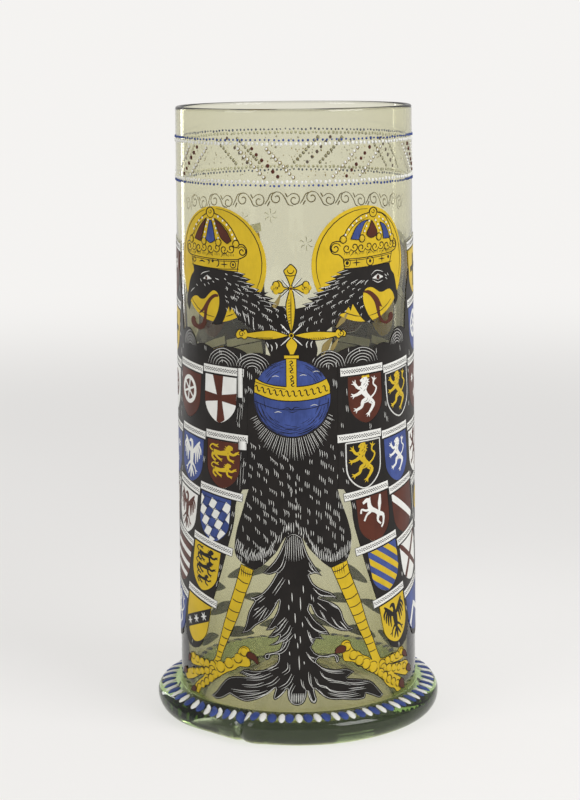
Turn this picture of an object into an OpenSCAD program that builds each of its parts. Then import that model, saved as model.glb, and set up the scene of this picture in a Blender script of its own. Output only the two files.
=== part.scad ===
// Enamelled glass humpen: a tall blown beaker on a trailed foot ring, painted with a crowned
// double eagle. Millimetres, +Z up, the eagle faces -Y. Origin at the middle of the foot's rest.
// Enamel outlines are drawn unrolled: [s, z], s along the wall from the front, z up from the table.
// A third value of 1 marks a corner; the other points lie on a smooth curve.

/* [Vessel] */
// Height from the table to the fire-polished rim
total_h = 285; // [240:1:320]
// Outside diameter of the wall just below the rim
rim_d = 107.8; // [100:0.1:118]
// Outside diameter of the wall where the foot ring sits
waist_d = 111.8; // [104:0.1:120]
// Thickness of the blown wall
wall_t = 2.4; // [1.6:0.1:4]
// Thickness of the base at its outer edge
base_t = 4.2; // [3:0.1:8]
// Height of the pushed-up middle of the base
kick_h = 17; // [6:0.5:30]
// Height of the wall's lower edge above the table
base_lift = 1.6; // [0.8:0.1:3]

/* [Foot ring] */
// How far the foot ring stands out from the wall
foot_w = 11.1; // [8:0.1:16]
// Height of the foot ring on the wall
foot_h = 14; // [10:0.5:20]
// Height of the foot ring's widest line
foot_bulge_z = 8; // [5:0.5:10]
// How square the foot's shoulder is, 2 for an ellipse
foot_square = 2.4; // [2:0.1:3.5]
// Distance from the wall to the flat ring that the vessel stands on
rest_gap = 1.1; // [1:0.1:4]
// Width of that flat ring
rest_w = 2.6; // [1.5:0.1:5]

/* [Pontil mark] */
// Diameter of the rough ring left by the pontil iron
pontil_d = 19; // [12:0.5:30]
// Thickness of that ring
pontil_t = 2.6; // [1.5:0.1:5]

/* [Enamel] */
// Length that one unit of the painting's outlines stands for
art_unit = 1; // [0.8:0.01:1.2]
// Radius of the wall that the painting is drawn for
art_r = 55; // [50:0.5:60]
// Clear wall between the tops of the haloes and the lower row of dots
paint_gap = 9.5; // [4:0.5:16]
// Thickness of one coat of enamel
enamel_t = 0.3; // [0.2:0.05:0.6]
// Air between one layer and the next
fit_gap = 0.01; // [0.005:0.005:0.05]
// Steps of each smooth stretch of an outline
curve_n = 3; // [2:1:8]

/* [Rim band] */
// Dots in each full row
dot_n = 160; // [80:2:200]
// Diameter of a row dot
dot_d = 1.05; // [0.6:0.05:1.6]
// Height of a dot
dot_h = 0.5; // [0.3:0.05:0.8]
// Drop of the upper blue row below the rim
band_top = 13.4; // [8:0.1:30]
// Drop of the lower blue row below the rim
band_low = 33; // [25:0.1:45]
// Step from a blue row to its white row
row_step = 1.6; // [1.3:0.1:4]
// Slanting groups of dots round the band
zig_n = 8; // [4:2:12]
// Place of the first group, along the wall
zig_s = -13; // [-30:1:30]
// Step between the lines of a group
zig_step = 6.6; // [4:0.1:10]
// Pale dots in a line
pale_n = 9; // [5:1:12]
// Red dots in a line
red_n = 6; // [4:1:9]
// Diameter of a red dot
red_d = 1.35; // [0.8:0.05:2]

/* [Eagle] */
// Middle line of the eagle, along the wall
eagle_s = -1.8; // [-6:0.1:6]
// Diameter of a halo
halo_d = 51.4; // [44:0.2:54]
// Height of the haloes
halo_z = 216.8; // [210:0.2:222]
// Diameter of the orb
orb_d = 34.6; // [30:0.2:38]
// Height of the orb
orb_z = 158.6; // [154:0.2:163]

/* [Wings] */
// Distance of the first feather from the eagle's middle line
col_first = 34.8; // [33:0.2:37]
// Distance from one feather to the next
col_step = 22; // [20:0.2:23]
// How far the feathers lean outwards at the foot of the wing
lean_s = 18; // [8:0.5:24]
// Half the width of a feather
col_half = 10.6; // [9:0.1:11]

/* [Shields] */
// Width of a shield
shield_w = 18.4; // [14:0.2:20]
// Height of a shield
shield_h = 21.6; // [15:0.2:24]
// Length of a label strip
label_w = 20.8; // [16:0.2:22]
// Height of a label strip
label_h = 3.8; // [2.5:0.1:4.5]
// Space between a shield and its label
label_gap = 0.6; // [0.3:0.1:1.5]
// Clear line between a shield or label and the black round it
coat_gap = 0.1; // [0.05:0.01:0.25]

/* [Foot dashes] */
// White dashes round the foot, with as many blue ones between them
dash_n = 48; // [24:1:72]
// Width of a dash round the foot
dash_w = 3.2; // [1.5:0.1:3.6]
// Distance from the wall to the dashes
dash_gap = 3; // [2:0.1:5]
// Length of a dash outwards
dash_len = 5.8; // [2:0.1:6]
// Air under a dash
dash_air = 0.05; // [0.02:0.01:0.2]

/* [Hidden] */
$fn = 96;
row_z = art_unit * [210, 183.5, 156.3, 126.5, 101, 76.5, 50.5];
row_in = art_unit * [0, 0, 0.4, 2.4, 2.4, 1.1, 0.1];
label_more = art_unit * [0, 0, 2.4, 2.8, 4.5, 5, 2];
col_rows = [[2, 6], [2, 6], [0, 4], [0, 4], [0, 3], [0, 3]];
left_fields = ["wrbgg", "rbwrb", "rgwbr", "kwrgb", "brgw", "gkwr"];
right_fields = ["rkrbg", "kbrwb", "gbrwk", "rwbgr", "wgkb", "brwg"];
rim_r = wall_t / 2;
waist_r = waist_d / 2;
foot_r = waist_r + foot_w;
rest_in = waist_r + rest_gap;
rest_out = rest_in + rest_w;
halo_left = eagle_s - 36.5 * art_unit;
halo_right = eagle_s + 34.8 * art_unit;
leg_side = 40 * art_unit;
art_low = 14 * art_unit;
art_top = halo_z + halo_d / 2;
layer = enamel_t + fit_gap;

// Radius of the outside of the wall at height z
function wall_r(z) = waist_d / 2 + (rim_d - waist_d) / 2 * (z - foot_h) / (total_h - foot_h);

// Angle that a length along the wall takes up
function turn(s) = s / art_r * 180 / PI;

// Height on the wall of a height in the drawing, which fills the wall from the foot to the dots
function art_z(z) = foot_h + (z - art_low) * (total_h - band_low - paint_gap - foot_h) / (art_top - art_low);

// A drawn point as seen straight on from s0
function wrap(p, s0) = let (z = art_z(p[1])) [wall_r(z) * sin(turn(p[0] - s0)), z];

// Outline points in millimetres, with their corner marks
function drawn(p) = [for (q = p) is_corner(q) ? [q[0] * art_unit, q[1] * art_unit, 1] : q * art_unit];

// Point and direction helpers for the smooth outlines
function flat(p) = [p[0], p[1]];
function is_corner(p) = len(p) > 2;
function heading(a, b, c) = (c - a) / (norm(b - a) + norm(c - b));
function hermite(a, b, ta, tb, t) =
    (2 * t ^ 3 - 3 * t ^ 2 + 1) * a + (t ^ 3 - 2 * t ^ 2 + t) * ta
    + (3 * t ^ 2 - 2 * t ^ 3) * b + (t ^ 3 - t ^ 2) * tb;

// Smooth stretch from point i of a closed outline to the next
function stretch(p, i, n) =
    let (m = len(p), o = flat(p[(i + m - 1) % m]), a = flat(p[i]), b = flat(p[(i + 1) % m]),
         c = flat(p[(i + 2) % m]), size = norm(b - a), straight = (b - a) / size,
         ta = is_corner(p[i]) ? straight : heading(o, a, b),
         tb = is_corner(p[(i + 1) % m]) ? straight : heading(a, b, c),
         steps = is_corner(p[i]) && is_corner(p[(i + 1) % m]) ? 1 : n)
    [for (k = [0:steps - 1]) hermite(a, b, ta * size, tb * size, k / steps)];
function smooth(p, n = curve_n) = [for (i = [0:len(p) - 1]) each stretch(p, i, n)];

// Mirrors drawn points about the eagle's middle line; side is -1 or 1
function beside(p, side) = [for (q = p) is_corner(q) ? [eagle_s + side * q[0], q[1], 1]
    : [eagle_s + side * q[0], q[1]]];
function disc(s, z, d, n = 48) = [for (k = [0:n - 1]) [s + d / 2 * cos(360 * k / n),
    z + d / 2 * sin(360 * k / n)]];
function shifted(p, s, z) = [for (q = p) is_corner(q) ? [s + q[0], z + q[1], 1] : [s + q[0], z + q[1]]];
function turned(p, a) = [for (q = p) [q[0] * cos(a) - q[1] * sin(a), q[0] * sin(a) + q[1] * cos(a)]];

// 2-D drawing of one outline, seen straight on from s0
module outline(p, s0) {
    polygon([for (q = smooth(p)) wrap(q, s0)]);
}

module exact_outline(p, s0) {
    polygon([for (q = p) wrap(q, s0)]);
}

// Thin skin that follows the wall, a number of layers above the glass
module skin(up) {
    low = fit_gap + up * layer;
    rotate_extrude($fn = 180)
        polygon([[wall_r(foot_h) + low, foot_h],
            [wall_r(foot_h) + low + enamel_t, foot_h],
            [wall_r(total_h) + low + enamel_t, total_h],
            [wall_r(total_h) + low, total_h]]);
}

// Lays a 2-D drawing on the wall as a coat of enamel
module on_wall(s0, up = 0) {
    rotate([0, 0, turn(s0)])
        intersection() {
            skin(up);
            rotate([90, 0, 0]) linear_extrude(height = foot_r) children();
        }
}

// One dot standing on the wall
module wall_dot(s, z, d) {
    tilt = atan2(waist_d / 2 - rim_d / 2, total_h - foot_h);
    rotate([0, 0, turn(s)])
        translate([0, -wall_r(z) - fit_gap, z])
            rotate([90 - tilt, 0, 0])
                cylinder(h = dot_h, r1 = d / 2, r2 = d * 0.3, $fn = 16);
}

module dot_row(drop, shift) {
    for (k = [0:dot_n - 1])
        wall_dot((k + shift) * 2 * PI * art_r / dot_n, total_h - drop, dot_d);
}

// Outlines of the eagle's front
left_head_line = drawn([[-54, 215.2, 1], [-53.6, 212.8], [-55.8, 210.6], [-57.6, 207.5], [-59, 203.5],
    [-60.2, 200.5], [-60.2, 197.5], [-58.3, 194.8, 1], [-57.4, 197.5], [-56.3, 199.6], [-54, 201.3],
    [-51, 201.8], [-48.5, 200.7], [-45.5, 201], [-43, 203], [-40.3, 204.9], [-38.4, 204.9],
    [-36.8, 203.4], [-36.3, 200.3], [-36.9, 197], [-38.4, 193.6], [-41, 190, 1], [-38.3, 189.8],
    [-35.8, 190.3], [-33.8, 192.3], [-32.4, 195.5], [-31, 198.6, 1], [-30.5, 195.8, 1],
    [-29.4, 198, 1], [-27.3, 194.8, 1], [-26, 193], [-23.5, 191.2], [-20, 189.2, 1], [-14, 187, 1],
    [-1.8, 186.5, 1], [-1.8, 199.2, 1], [-8.5, 199.6, 1], [-7.5, 200.5, 1], [-12, 201.8, 1],
    [-9.3, 202.7, 1], [-13.7, 204.2, 1], [-11.8, 205.4, 1], [-17, 205.7, 1], [-15.8, 206.8, 1],
    [-20, 207.6, 1], [-17.8, 208.8, 1], [-22.2, 209.8, 1], [-19.8, 211, 1], [-23.8, 212.2, 1],
    [-22.3, 213.3, 1], [-26.4, 214, 1]]);
right_head_line = drawn([[22.6, 214.9, 1], [48.6, 215.9, 1], [49.8, 212.8], [52, 210.6], [53.2, 207.3],
    [54, 204.2], [55, 201.8], [55, 199], [52.7, 196.6, 1], [52.2, 200], [51, 202.4], [48.6, 204.3],
    [46.3, 204.2], [44, 203.5], [41.6, 203.6], [39.4, 204.8], [37, 206], [34.5, 206], [33, 205.2],
    [32, 203.4], [32.1, 200], [33.4, 196.6], [35.2, 193.4], [38.2, 190.3, 1], [35.3, 189.9],
    [32.6, 191.4], [30, 194], [28, 197], [26.4, 199.4, 1], [25.4, 196.3, 1], [24.3, 198.2, 1],
    [22.3, 195.6, 1], [20.4, 195.2], [18.5, 193], [16.5, 190, 1], [12, 186.9, 1],
    [-1.8, 186.5, 1], [-1.8, 197.6, 1], [0.4, 198.3, 1], [5, 199.3, 1], [3, 200.2, 1],
    [7.8, 201.3, 1], [5.3, 202.7, 1], [10.2, 203.8, 1], [8, 205, 1], [12.8, 206, 1], [10.2, 207.1, 1],
    [15.8, 208.4, 1], [13, 209.4, 1], [18.3, 211, 1], [15.8, 212.1, 1], [20.8, 212.7, 1],
    [18.7, 213.7, 1]]);
left_crown_line = drawn([[-54, 215.2, 1], [-55.2, 219.9, 1], [-57.8, 220.8], [-59.6, 223], [-58.8, 225.6],
    [-56.8, 226.3], [-56.2, 228], [-54.5, 229], [-53.3, 229.8, 1], [-52, 232.5], [-49, 235.7],
    [-45.8, 238], [-43.9, 238.9, 1], [-43.6, 240.6], [-41.3, 242], [-39, 240.8], [-38.6, 239.3, 1],
    [-35.5, 238.2], [-31.5, 235.4], [-28.5, 232], [-26.6, 228.7, 1], [-25.6, 227.2],
    [-25.2, 226.1, 1], [-23.3, 226], [-21.7, 224.2], [-21.9, 221.7], [-23.7, 220.4],
    [-25.6, 219.7, 1], [-26.4, 214, 1]]);
right_crown_line = drawn([[22.6, 214.9, 1], [21.8, 219.8, 1], [19.8, 221.4], [17, 222], [15.7, 224.3],
    [16.6, 226.6], [18.6, 227.3], [20.3, 227.2, 1], [21.2, 229.2], [22.7, 230.2, 1], [24, 232.5],
    [27.5, 236], [31.5, 238.3], [35.6, 239.2, 1], [36, 240.4], [38, 241.4], [40, 240.5],
    [40.6, 239.1, 1], [44.5, 237.8], [47.8, 234.5], [50, 230.5], [50.6, 228, 1], [51.2, 226.7],
    [52.6, 226.4], [54, 224.5], [53.4, 222.3], [51.6, 221.3], [50.3, 221, 1], [48.6, 215.9, 1]]);
left_tongue_line = drawn([[-36.8, 203.4, 1], [-39, 203.6], [-42, 202], [-44.8, 199.2], [-47, 196.6],
    [-50.4, 193.8, 1], [-47.6, 194.6], [-46, 195.6, 1], [-46.3, 192.8], [-47.6, 190], [-50, 188.8],
    [-52.4, 189.6], [-53.2, 191.8], [-55, 192.2], [-56.6, 190.6], [-55.6, 188.4], [-52.2, 187],
    [-48.3, 186.7], [-45.6, 188.4], [-44.5, 191.8], [-43.6, 196.6], [-41.4, 200.2], [-39, 202],
    [-36.9, 202.4, 1]]);
right_tongue_line = drawn([[32.3, 204.8, 1], [35, 204.9], [38, 203.4], [40.8, 201], [42.3, 198.5],
    [43.5, 196.6, 1], [41.6, 197.2, 1], [41.9, 194], [43.2, 191.4], [45.3, 190.1], [47.4, 190.8],
    [48, 192.8], [49.4, 193.8], [50.8, 192.8], [50.8, 190.9], [48.8, 189.4], [45.5, 188.8],
    [42.6, 190], [40.6, 192.8], [39.5, 196], [38.3, 199.4], [36, 202.2], [33.8, 203.6],
    [32.3, 204, 1]]);

// Cross, part by part: balusters, arms, knobs and the three ends of the small top cross
cross_lines = [
    [[-1.8, 187.6, 1], [-2.8, 190.5], [-3.8, 195], [-4.1, 200], [-3.2, 204], [-2.6, 206.4, 1],
        [-1.1, 206.4, 1], [-0.5, 203.5], [0, 199], [-0.3, 194], [-0.9, 190.5]],
    [[-2.6, 186.4, 1], [-6, 187.6], [-10, 188.7], [-15, 188.4], [-22.2, 187.2, 1], [-22.2, 185.5, 1],
        [-15.5, 184.6], [-11, 184.6], [-7, 185.2]],
    [[-21.9, 187.6], [-22.8, 188.8], [-24.2, 188], [-25.8, 188.7], [-27.2, 187.5], [-27.8, 186],
        [-26.8, 184.5], [-25, 185], [-23.4, 184.3], [-22, 185.2]],
    [[-1, 186.5, 1], [3.5, 187.6], [9, 188.1], [14, 187.8], [18.6, 187.4, 1], [18.6, 185.6, 1],
        [13, 184.5], [9, 184.2], [4.5, 185]],
    [[18.2, 187.8], [19.4, 188.8], [20.6, 187.9], [22, 188.2], [23.3, 186.8], [22.6, 185.2],
        [21, 185.4], [19.8, 184.6], [18.4, 185.4]],
    [[-1.8, 185.6, 1], [-3.6, 183.8], [-4.3, 182], [-3.2, 179.6], [-2.6, 177.9, 1], [-0.8, 177.9, 1],
        [0.3, 180.2], [0.9, 182.2], [0, 184]],
    [[-1.9, 207.6, 1], [-3.2, 211], [-4.4, 213.6], [-4.9, 215], [-3.6, 216.3], [-1.9, 217.8],
        [-0.2, 216.6], [0.8, 215], [0.4, 213.4], [-0.6, 210.8]],
    [[-2.2, 207.3, 1], [-5, 208], [-6, 209.8], [-7.6, 210.7], [-8.6, 209.4], [-10.8, 207.3],
        [-8.8, 206], [-7, 205.1], [-5.6, 205.5], [-4.6, 206.6]],
    [[-1.4, 207.2, 1], [1.4, 208.2], [3.3, 209.2], [4.4, 210.2], [5.2, 208.8], [6.6, 207.2],
        [5.3, 205.3], [3.6, 205.2], [1.6, 206.4]]];
crossings = [[-1.8, 186.5, 2.6], [-1.8, 207.2, 2.4]];

band_line = drawn([[-18.3, 167.2, 1], [-14, 165.2], [-8, 164], [-1.8, 163.7], [5, 164.1], [10, 165.3],
    [13.8, 167, 1], [15.3, 163.5], [15.4, 160.2, 1], [8, 158], [-1.8, 157.2], [-11, 158],
    [-19, 160.8, 1], [-18.9, 164]]);
stem_line = drawn([[-4.3, 162.6, 1], [-4.3, 176, 1], [-5.2, 176, 1], [-5.2, 177.8, 1], [1.5, 177.8, 1],
    [1.5, 176, 1], [0.4, 176, 1], [0.4, 162.6, 1]]);

body_line = drawn([[-14, 186.4, 1], [-13.6, 183.6], [-12.4, 180.5], [-11.2, 177.4, 1], [-14.5, 178.2],
    [-18.5, 178.5], [-22.2, 177.6, 1], [-22.2, 116.6, 1], [-23.6, 112.4],
    [-25.2, 107], [-26.9, 102], [-28.4, 97], [-29.5, 91], [-29.4, 87], [-28, 84.3], [-25.6, 82.2, 1],
    [-19.6, 79.8, 1], [-16.3, 81.8], [-12.7, 85], [-9, 89.2], [-7, 93], [-5, 96, 1], [-2.8, 97.4],
    [-0.4, 97.2], [2.2, 95.6, 1], [5, 90.6], [9, 86], [12, 83], [15, 81, 1], [22.7, 83.9, 1],
    [24, 86.4], [24.8, 90.5], [25, 95], [23.3, 102], [21.2, 108], [19.6, 112.5], [18.6, 116.6, 1],
    [18.6, 178.4, 1], [16.5, 179.4], [13.5, 179.4], [11, 178.3], [9.4, 177, 1],
    [9.8, 180.2], [9, 183], [8.4, 186.5, 1]]);

tail_line = drawn([[-5, 95.95, 1], [-7.7, 89.4], [-10.6, 84.4], [-15.9, 78.6, 1], [-12.8, 78], [-9.4, 79.2, 1],
    [-13, 73], [-17, 68.8], [-22, 66.5, 1], [-19.8, 65.4, 1], [-22.8, 60], [-24.5, 53.5],
    [-26.6, 49.4, 1], [-22.8, 50.6], [-19, 54], [-14, 57.4], [-10.6, 62], [-8.4, 66.4, 1], [-9.4, 61.4],
    [-12, 56.6], [-14.8, 52, 1], [-11.4, 52.6], [-9.6, 54, 1], [-13.9, 48.6, 1], [-10.8, 48.8],
    [-8.4, 50.2, 1], [-9.6, 47.6], [-13.6, 45, 1], [-9.6, 45.6], [-7, 47.4, 1], [-8.6, 43.4], [-12, 42],
    [-15, 41.2], [-15.6, 39.2], [-14, 38.2], [-12.8, 39.2], [-12.4, 40.6], [-9, 40.8, 1],
    [-9.6, 37.6], [-14, 34.2], [-20, 32.8], [-25, 32.8], [-28, 30.6, 1], [-23.6, 29.4, 1], [-29, 29],
    [-34, 27.4], [-38, 23.4], [-41, 19.6], [-44.2, 17, 1], [-40.8, 15.9], [-36.6, 17.4],
    [-33, 19.8, 1], [-25.4, 17.5], [-20, 18.8], [-15, 21.5], [-10.4, 25.2, 1], [-11.6, 20.6],
    [-10.6, 19.6], [-7.6, 22], [-5.2, 25, 1], [-4.9, 20.6], [-3, 17.8], [-0.4, 17.2], [2, 18.2],
    [3.4, 21], [3.8, 24.2, 1], [4.3, 21], [5.5, 18.5], [7.3, 18], [8.2, 19.6], [7.6, 22], [7, 25, 1],
    [10.4, 21.6], [14, 19.4], [20, 18.6], [27, 17.4], [31.4, 17.6], [32, 19.6, 1], [36, 17.8],
    [40, 15.9], [42.4, 17, 1], [39, 21], [35, 25], [30, 27], [22, 28.6, 1], [26, 31.2, 1],
    [22, 33.2], [16, 33.4], [11, 35], [8, 37.6, 1], [9.4, 39.4], [13, 39], [16, 39.4], [16.6, 38],
    [17.4, 36.2], [18.7, 37.4], [18.2, 39.8], [16, 41], [12, 40.4], [8, 41.6], [5.8, 44.4, 1],
    [8, 48.4, 1], [11.6, 47.8, 1], [9.4, 50.6, 1], [14.4, 49.6, 1], [12.4, 52.8], [7.6, 57.4],
    [4.8, 62, 1], [5.4, 64.4, 1], [8, 58.8], [12, 56], [15, 53.4], [19, 51.2], [24, 50.5],
    [26, 51.8, 1], [23.4, 53], [21, 56.6], [20, 60], [18, 63], [14, 65.6], [9.4, 67.4, 1], [13.6, 67.6],
    [18, 66.2, 1], [15.4, 69.2], [10.6, 71.4], [7, 74.2], [5.2, 78, 1], [8, 78.6], [11, 77.2, 1],
    [8.2, 81.4], [5.4, 86], [3.9, 89.6], [2.2, 95.55, 1], [-0.4, 97.15], [-2.8, 97.35]]);

left_leg_line = drawn([[-26, 81.9, 1], [-29, 72], [-32.5, 62], [-35.6, 53], [-39.4, 41], [-41.2, 35.6],
    [-44.5, 32, 1], [-46, 32.6], [-49.5, 33], [-54, 33], [-57.5, 33.8], [-60, 33.9], [-61.3, 31.6],
    [-60.4, 28.6], [-57, 28.3], [-52, 29], [-47.5, 29.5, 1], [-52, 28.3], [-57, 26.8], [-62, 25.6],
    [-65.8, 23.6], [-68.4, 21.4], [-66, 19.2], [-60, 20.8], [-56, 22.6], [-52, 25], [-48.5, 26.4, 1],
    [-50, 24.4], [-53, 22.3], [-56, 19.8], [-57.6, 17.6], [-56, 15.8], [-53.6, 15.6], [-52, 18.2],
    [-49, 20], [-46, 22.4], [-42, 24.6], [-38, 27.4], [-34, 30], [-30, 31.8], [-27.5, 33.7],
    [-24.5, 33.9], [-22.3, 34.5], [-21.9, 36.2], [-22.6, 38.6], [-22, 41.2], [-22.7, 43], [-25, 43.8],
    [-27.4, 42.3], [-28.4, 40], [-29.5, 38.3], [-32, 37], [-35, 34.8], [-38.3, 33.8, 1], [-36.4, 39],
    [-33, 46.4], [-28, 57], [-24, 68], [-21, 75.6], [-19.9, 79.7, 1]]);
right_leg_line = drawn([[15, 80.9, 1], [17.5, 75], [20.5, 68], [24.5, 59], [28, 51], [31.5, 44], [34, 38.2],
    [35.4, 35, 1], [33, 37], [30, 38.5], [28, 40.4], [26, 41.2], [24.5, 43], [23.5, 45.8],
    [21.5, 46.5], [19.5, 45.4], [19.3, 42.8], [20, 39.5], [20.6, 37], [23, 36.2], [25.4, 35.6],
    [27.5, 33.4], [30, 32.8], [33, 30.2], [36, 28.6], [39, 26.5], [42, 24], [44, 21.5], [47, 19.1],
    [50, 18], [52, 15.9], [55, 15.8], [56.6, 18], [56.4, 20.8], [54.5, 22.5], [52, 24],
    [49.5, 25.5, 1], [53, 24.2], [57, 22.6], [61, 21.5], [63.8, 22.4], [64.4, 24.8], [63, 27.6],
    [60, 29], [55, 29.3], [47, 30.6, 1], [52, 30.3], [56.5, 30.4], [58.6, 31.4], [59, 34],
    [57.5, 36], [55, 36.4], [52, 34.8], [49, 35.3], [45, 34.4], [40.6, 34.6, 1], [38.4, 39], [36.5, 44],
    [34, 50], [31.5, 57], [29, 65], [25.6, 73.5], [23.6, 79], [22.5, 83.7, 1]]);
claw_lines = [
    [[-23.6, 39.8], [-22.4, 41.4], [-20.4, 41], [-18.4, 39], [-17.6, 36, 1], [-18.8, 36.2],
        [-20.6, 37.8], [-23, 38.4]],
    [[-55.4, 17.6], [-57.6, 18.4], [-59.6, 17], [-61, 15.2, 1], [-58.6, 15.2], [-56.2, 15.8]],
    [[-65.4, 22.6], [-67, 24.6], [-69.4, 24], [-70.6, 21.2, 1], [-68, 21.4]],
    [[-60.2, 32], [-61.8, 32.8], [-63.4, 31.2], [-63.2, 28.4, 1], [-61.6, 29.6]],
    [[20.8, 41.2], [21.4, 43.4], [19, 44.4], [16.8, 43.4], [16, 40.8, 1], [18.4, 40.8]],
    [[53.4, 18.6], [55.4, 21.4], [57.8, 20.4], [58.8, 16, 1], [56, 16.6]],
    [[60.8, 24.4], [62.6, 26.4], [65.4, 25.2], [66.6, 21.8, 1], [63.4, 22.6]],
    [[56.6, 33], [58, 34.6], [60.4, 33.2], [61.6, 30.2, 1], [58.6, 31.2]]];

red_panel_lines = [
    [[-52.2, 227.6, 1], [-48.4, 233], [-43.6, 237.2, 1], [-45.2, 233], [-47.8, 226.6, 1]],
    [[-38.6, 237.2, 1], [-34.8, 234.8], [-31.4, 231.4], [-29.2, 227.6, 1], [-31.4, 226.2, 1],
        [-34.8, 228.6], [-36.4, 232]],
    [[36.9, 235.8, 1], [35.4, 232.4], [34, 229.8], [36.8, 228], [40.2, 229.8], [38.8, 233.2]]];
blue_panel_lines = [
    [[-44, 227.6, 1], [-42.8, 232], [-41.6, 236.2, 1], [-40.4, 236.2, 1], [-39.2, 232],
        [-38.3, 227.4, 1], [-41.2, 226.2]],
    [[25.6, 228, 1], [28, 232.6], [31.4, 235.4], [35.2, 236.1, 1], [33, 234.8], [31, 231],
        [29.6, 227.6, 1]],
    [[42, 234.7, 1], [45, 233.4], [47.4, 230], [48.2, 227.2, 1], [44.2, 227.2, 1], [43.6, 231]]];

// Outlying leaves at the back of the vessel
leaf_line = drawn([[-9, -1.6, 1], [-4, 1.4], [2, 2.2], [9, 0.4, 1], [3, -1.8], [-3, -2.4]]);
leaf_places = [[119, 49, -6, 1.3], [145, 51, 8, 1.5], [173, 50, -6, 1.4], [200, 51, -8, 1.5],
    [226, 48, 8, 1.3], [126, 35.5, 4, 1.3], [150, 36, -10, 1.2], [172, 37, 6, 1], [194, 36, 9, 1.2],
    [218, 35, -6, 1.3], [112, 22, 4, 1.2], [136, 20.5, -4, 1.3], [160, 23, 6, 1.2],
    [184, 22, -6, 1.2], [209, 20.5, 5, 1.3], [233, 22.5, -4, 1.2]];

// Wing: the shoulder line and the feather ends, as distances from the eagle's middle line
shoulder_line = drawn([[20.42, 178, 1], [23, 179.4], [27.5, 180.4], [33, 180.3], [38.5, 178.6, 1],
    [41, 179.8], [46, 180.8], [50, 179.8, 1], [52, 183.4], [56, 186.5], [61, 186], [63.5, 184.5, 1],
    [64, 190], [65.6, 200], [68.4, 209], [72.4, 216], [78, 220.5], [86, 223], [97, 224.4],
    [109, 224.4], [121, 224], [134, 223], [146, 221], [153, 217, 1], [155.6, 205]]);
tip_z = art_unit * [36.5, 37, 86, 86, 113.5, 113.5];
lean_top = 130 * art_unit;
lean_low = 50 * art_unit;
function lean(z) = z > lean_top ? 0 : lean_s * (lean_top - z) / (lean_top - lean_low);
function col_u(k, z) = col_first + col_step * k + lean(z);

// Rounded end of feather k, from its outer side to its inner side
function feather_end(k) = let (z = tip_z[k], u = col_u(k, z), cut = z + 12 * art_unit)
    [[u + col_half - 0.4, cut, 1], [u + col_half * 0.75, z + 3.4], [u + 1.5, z],
     [u - col_half * 0.6, z + 2.6], [u - col_half + 0.4, cut, 1]];
inner_line = drawn([[28.5, 98, 1], [27.5, 103], [26.6, 110], [23.2, 116.2, 1], [20.42, 116.6, 1]]);
wing_line = concat(shoulder_line, [[col_u(5, row_z[2]) + col_half, row_z[2]]],
    [for (k = [5:-1:0]) each feather_end(k)],
    [[col_u(0, row_z[5]) - col_half - 1, row_z[5]]], inner_line);

// Place of the shield in column k, row j: distance from the middle line, height, tilt
function tilt(k, j) = (k == 0 ? 0 : 4) + (j < 2 ? 4 : [2, 2, 7, 11, 13][j - 2]);
function shield_at(k, j) = [col_u(k, row_z[j]) + 0.6 - row_in[j], row_z[j], tilt(k, j)];
function shield_line(grow = 0) = let (w = shield_w / 2 + grow, h = shield_h / 2 + grow)
    smooth([[-w, h, 1], [w, h, 1], [w, -h * 0.14], [w * 0.83, -h * 0.53], [w * 0.45, -h * 0.85], [0, -h],
        [-w * 0.45, -h * 0.85], [-w * 0.83, -h * 0.53], [-w, -h * 0.14]]);
label_up = shield_h / 2 + label_gap + label_h / 2;

// Label over a shield; those of the first feather run on towards the breast
function label_line(side, k, j, grow = 0) =
    let (w = label_w / 2 + grow, h = label_h / 2 + grow, more = k == 0 ? label_more[j] : 0,
         left = side > 0 ? w + more : w, right = side < 0 ? w + more : w)
    [[-left, label_up - h], [right, label_up - h], [right, label_up + h], [-left, label_up + h]];

// An outline moved to column k, row j of a wing, with the shield's tilt
function in_wing(side, k, j, p) = let (at = shield_at(k, j))
    shifted(turned(p, side * at[2]), eagle_s + side * at[0], at[1]);

// A shield, cut where the label of the row below lies over its tip
module shield_drawing(side, k, j, s0) {
    difference() {
        exact_outline(in_wing(side, k, j, shield_line()), s0);
        if (j < col_rows[k][1])
            exact_outline(in_wing(side, k, j + 1, label_line(side, k, j + 1, coat_gap)), s0);
    }
}

// Every shield of one field colour on one wing
module shields(side, fields, letter) {
    for (k = [0:5])
        for (j = [col_rows[k][0]:col_rows[k][1]])
            if (fields[k][j - col_rows[k][0]] == letter)
                let (s0 = eagle_s + side * shield_at(k, j)[0])
                    on_wall(s0) shield_drawing(side, k, j, s0);
}

module field_shields(letter) {
    shields(-1, left_fields, letter);
    shields(1, right_fields, letter);
}

module cross_drawing(s0) {
    for (p = cross_lines) outline(drawn(p), s0);
    for (c = crossings * art_unit) exact_outline(disc(c[0], c[1], c[2], 24), s0);
}

module orb_drawing(s0, grow = 0) {
    exact_outline(disc(eagle_s, orb_z, orb_d + grow), s0);
}

module orb_band_drawing(s0) {
    outline(band_line, s0);
    outline(stem_line, s0);
}

// One halo with the places of the head, crown and tongue left clear
module halo(s, head, crown, tongue) {
    on_wall(s) difference() {
        exact_outline(disc(s, halo_z, halo_d, 60), s);
        outline(head, s);
        outline(crown, s);
        outline(tongue, s);
    }
}

// Height of the foot's shoulder at a radius
function shoulder_z(r) = foot_bulge_z + (foot_h - foot_bulge_z)
    * pow(1 - pow(min(1, max(0, r - waist_r) / foot_w), foot_square), 1 / foot_square);

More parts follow.
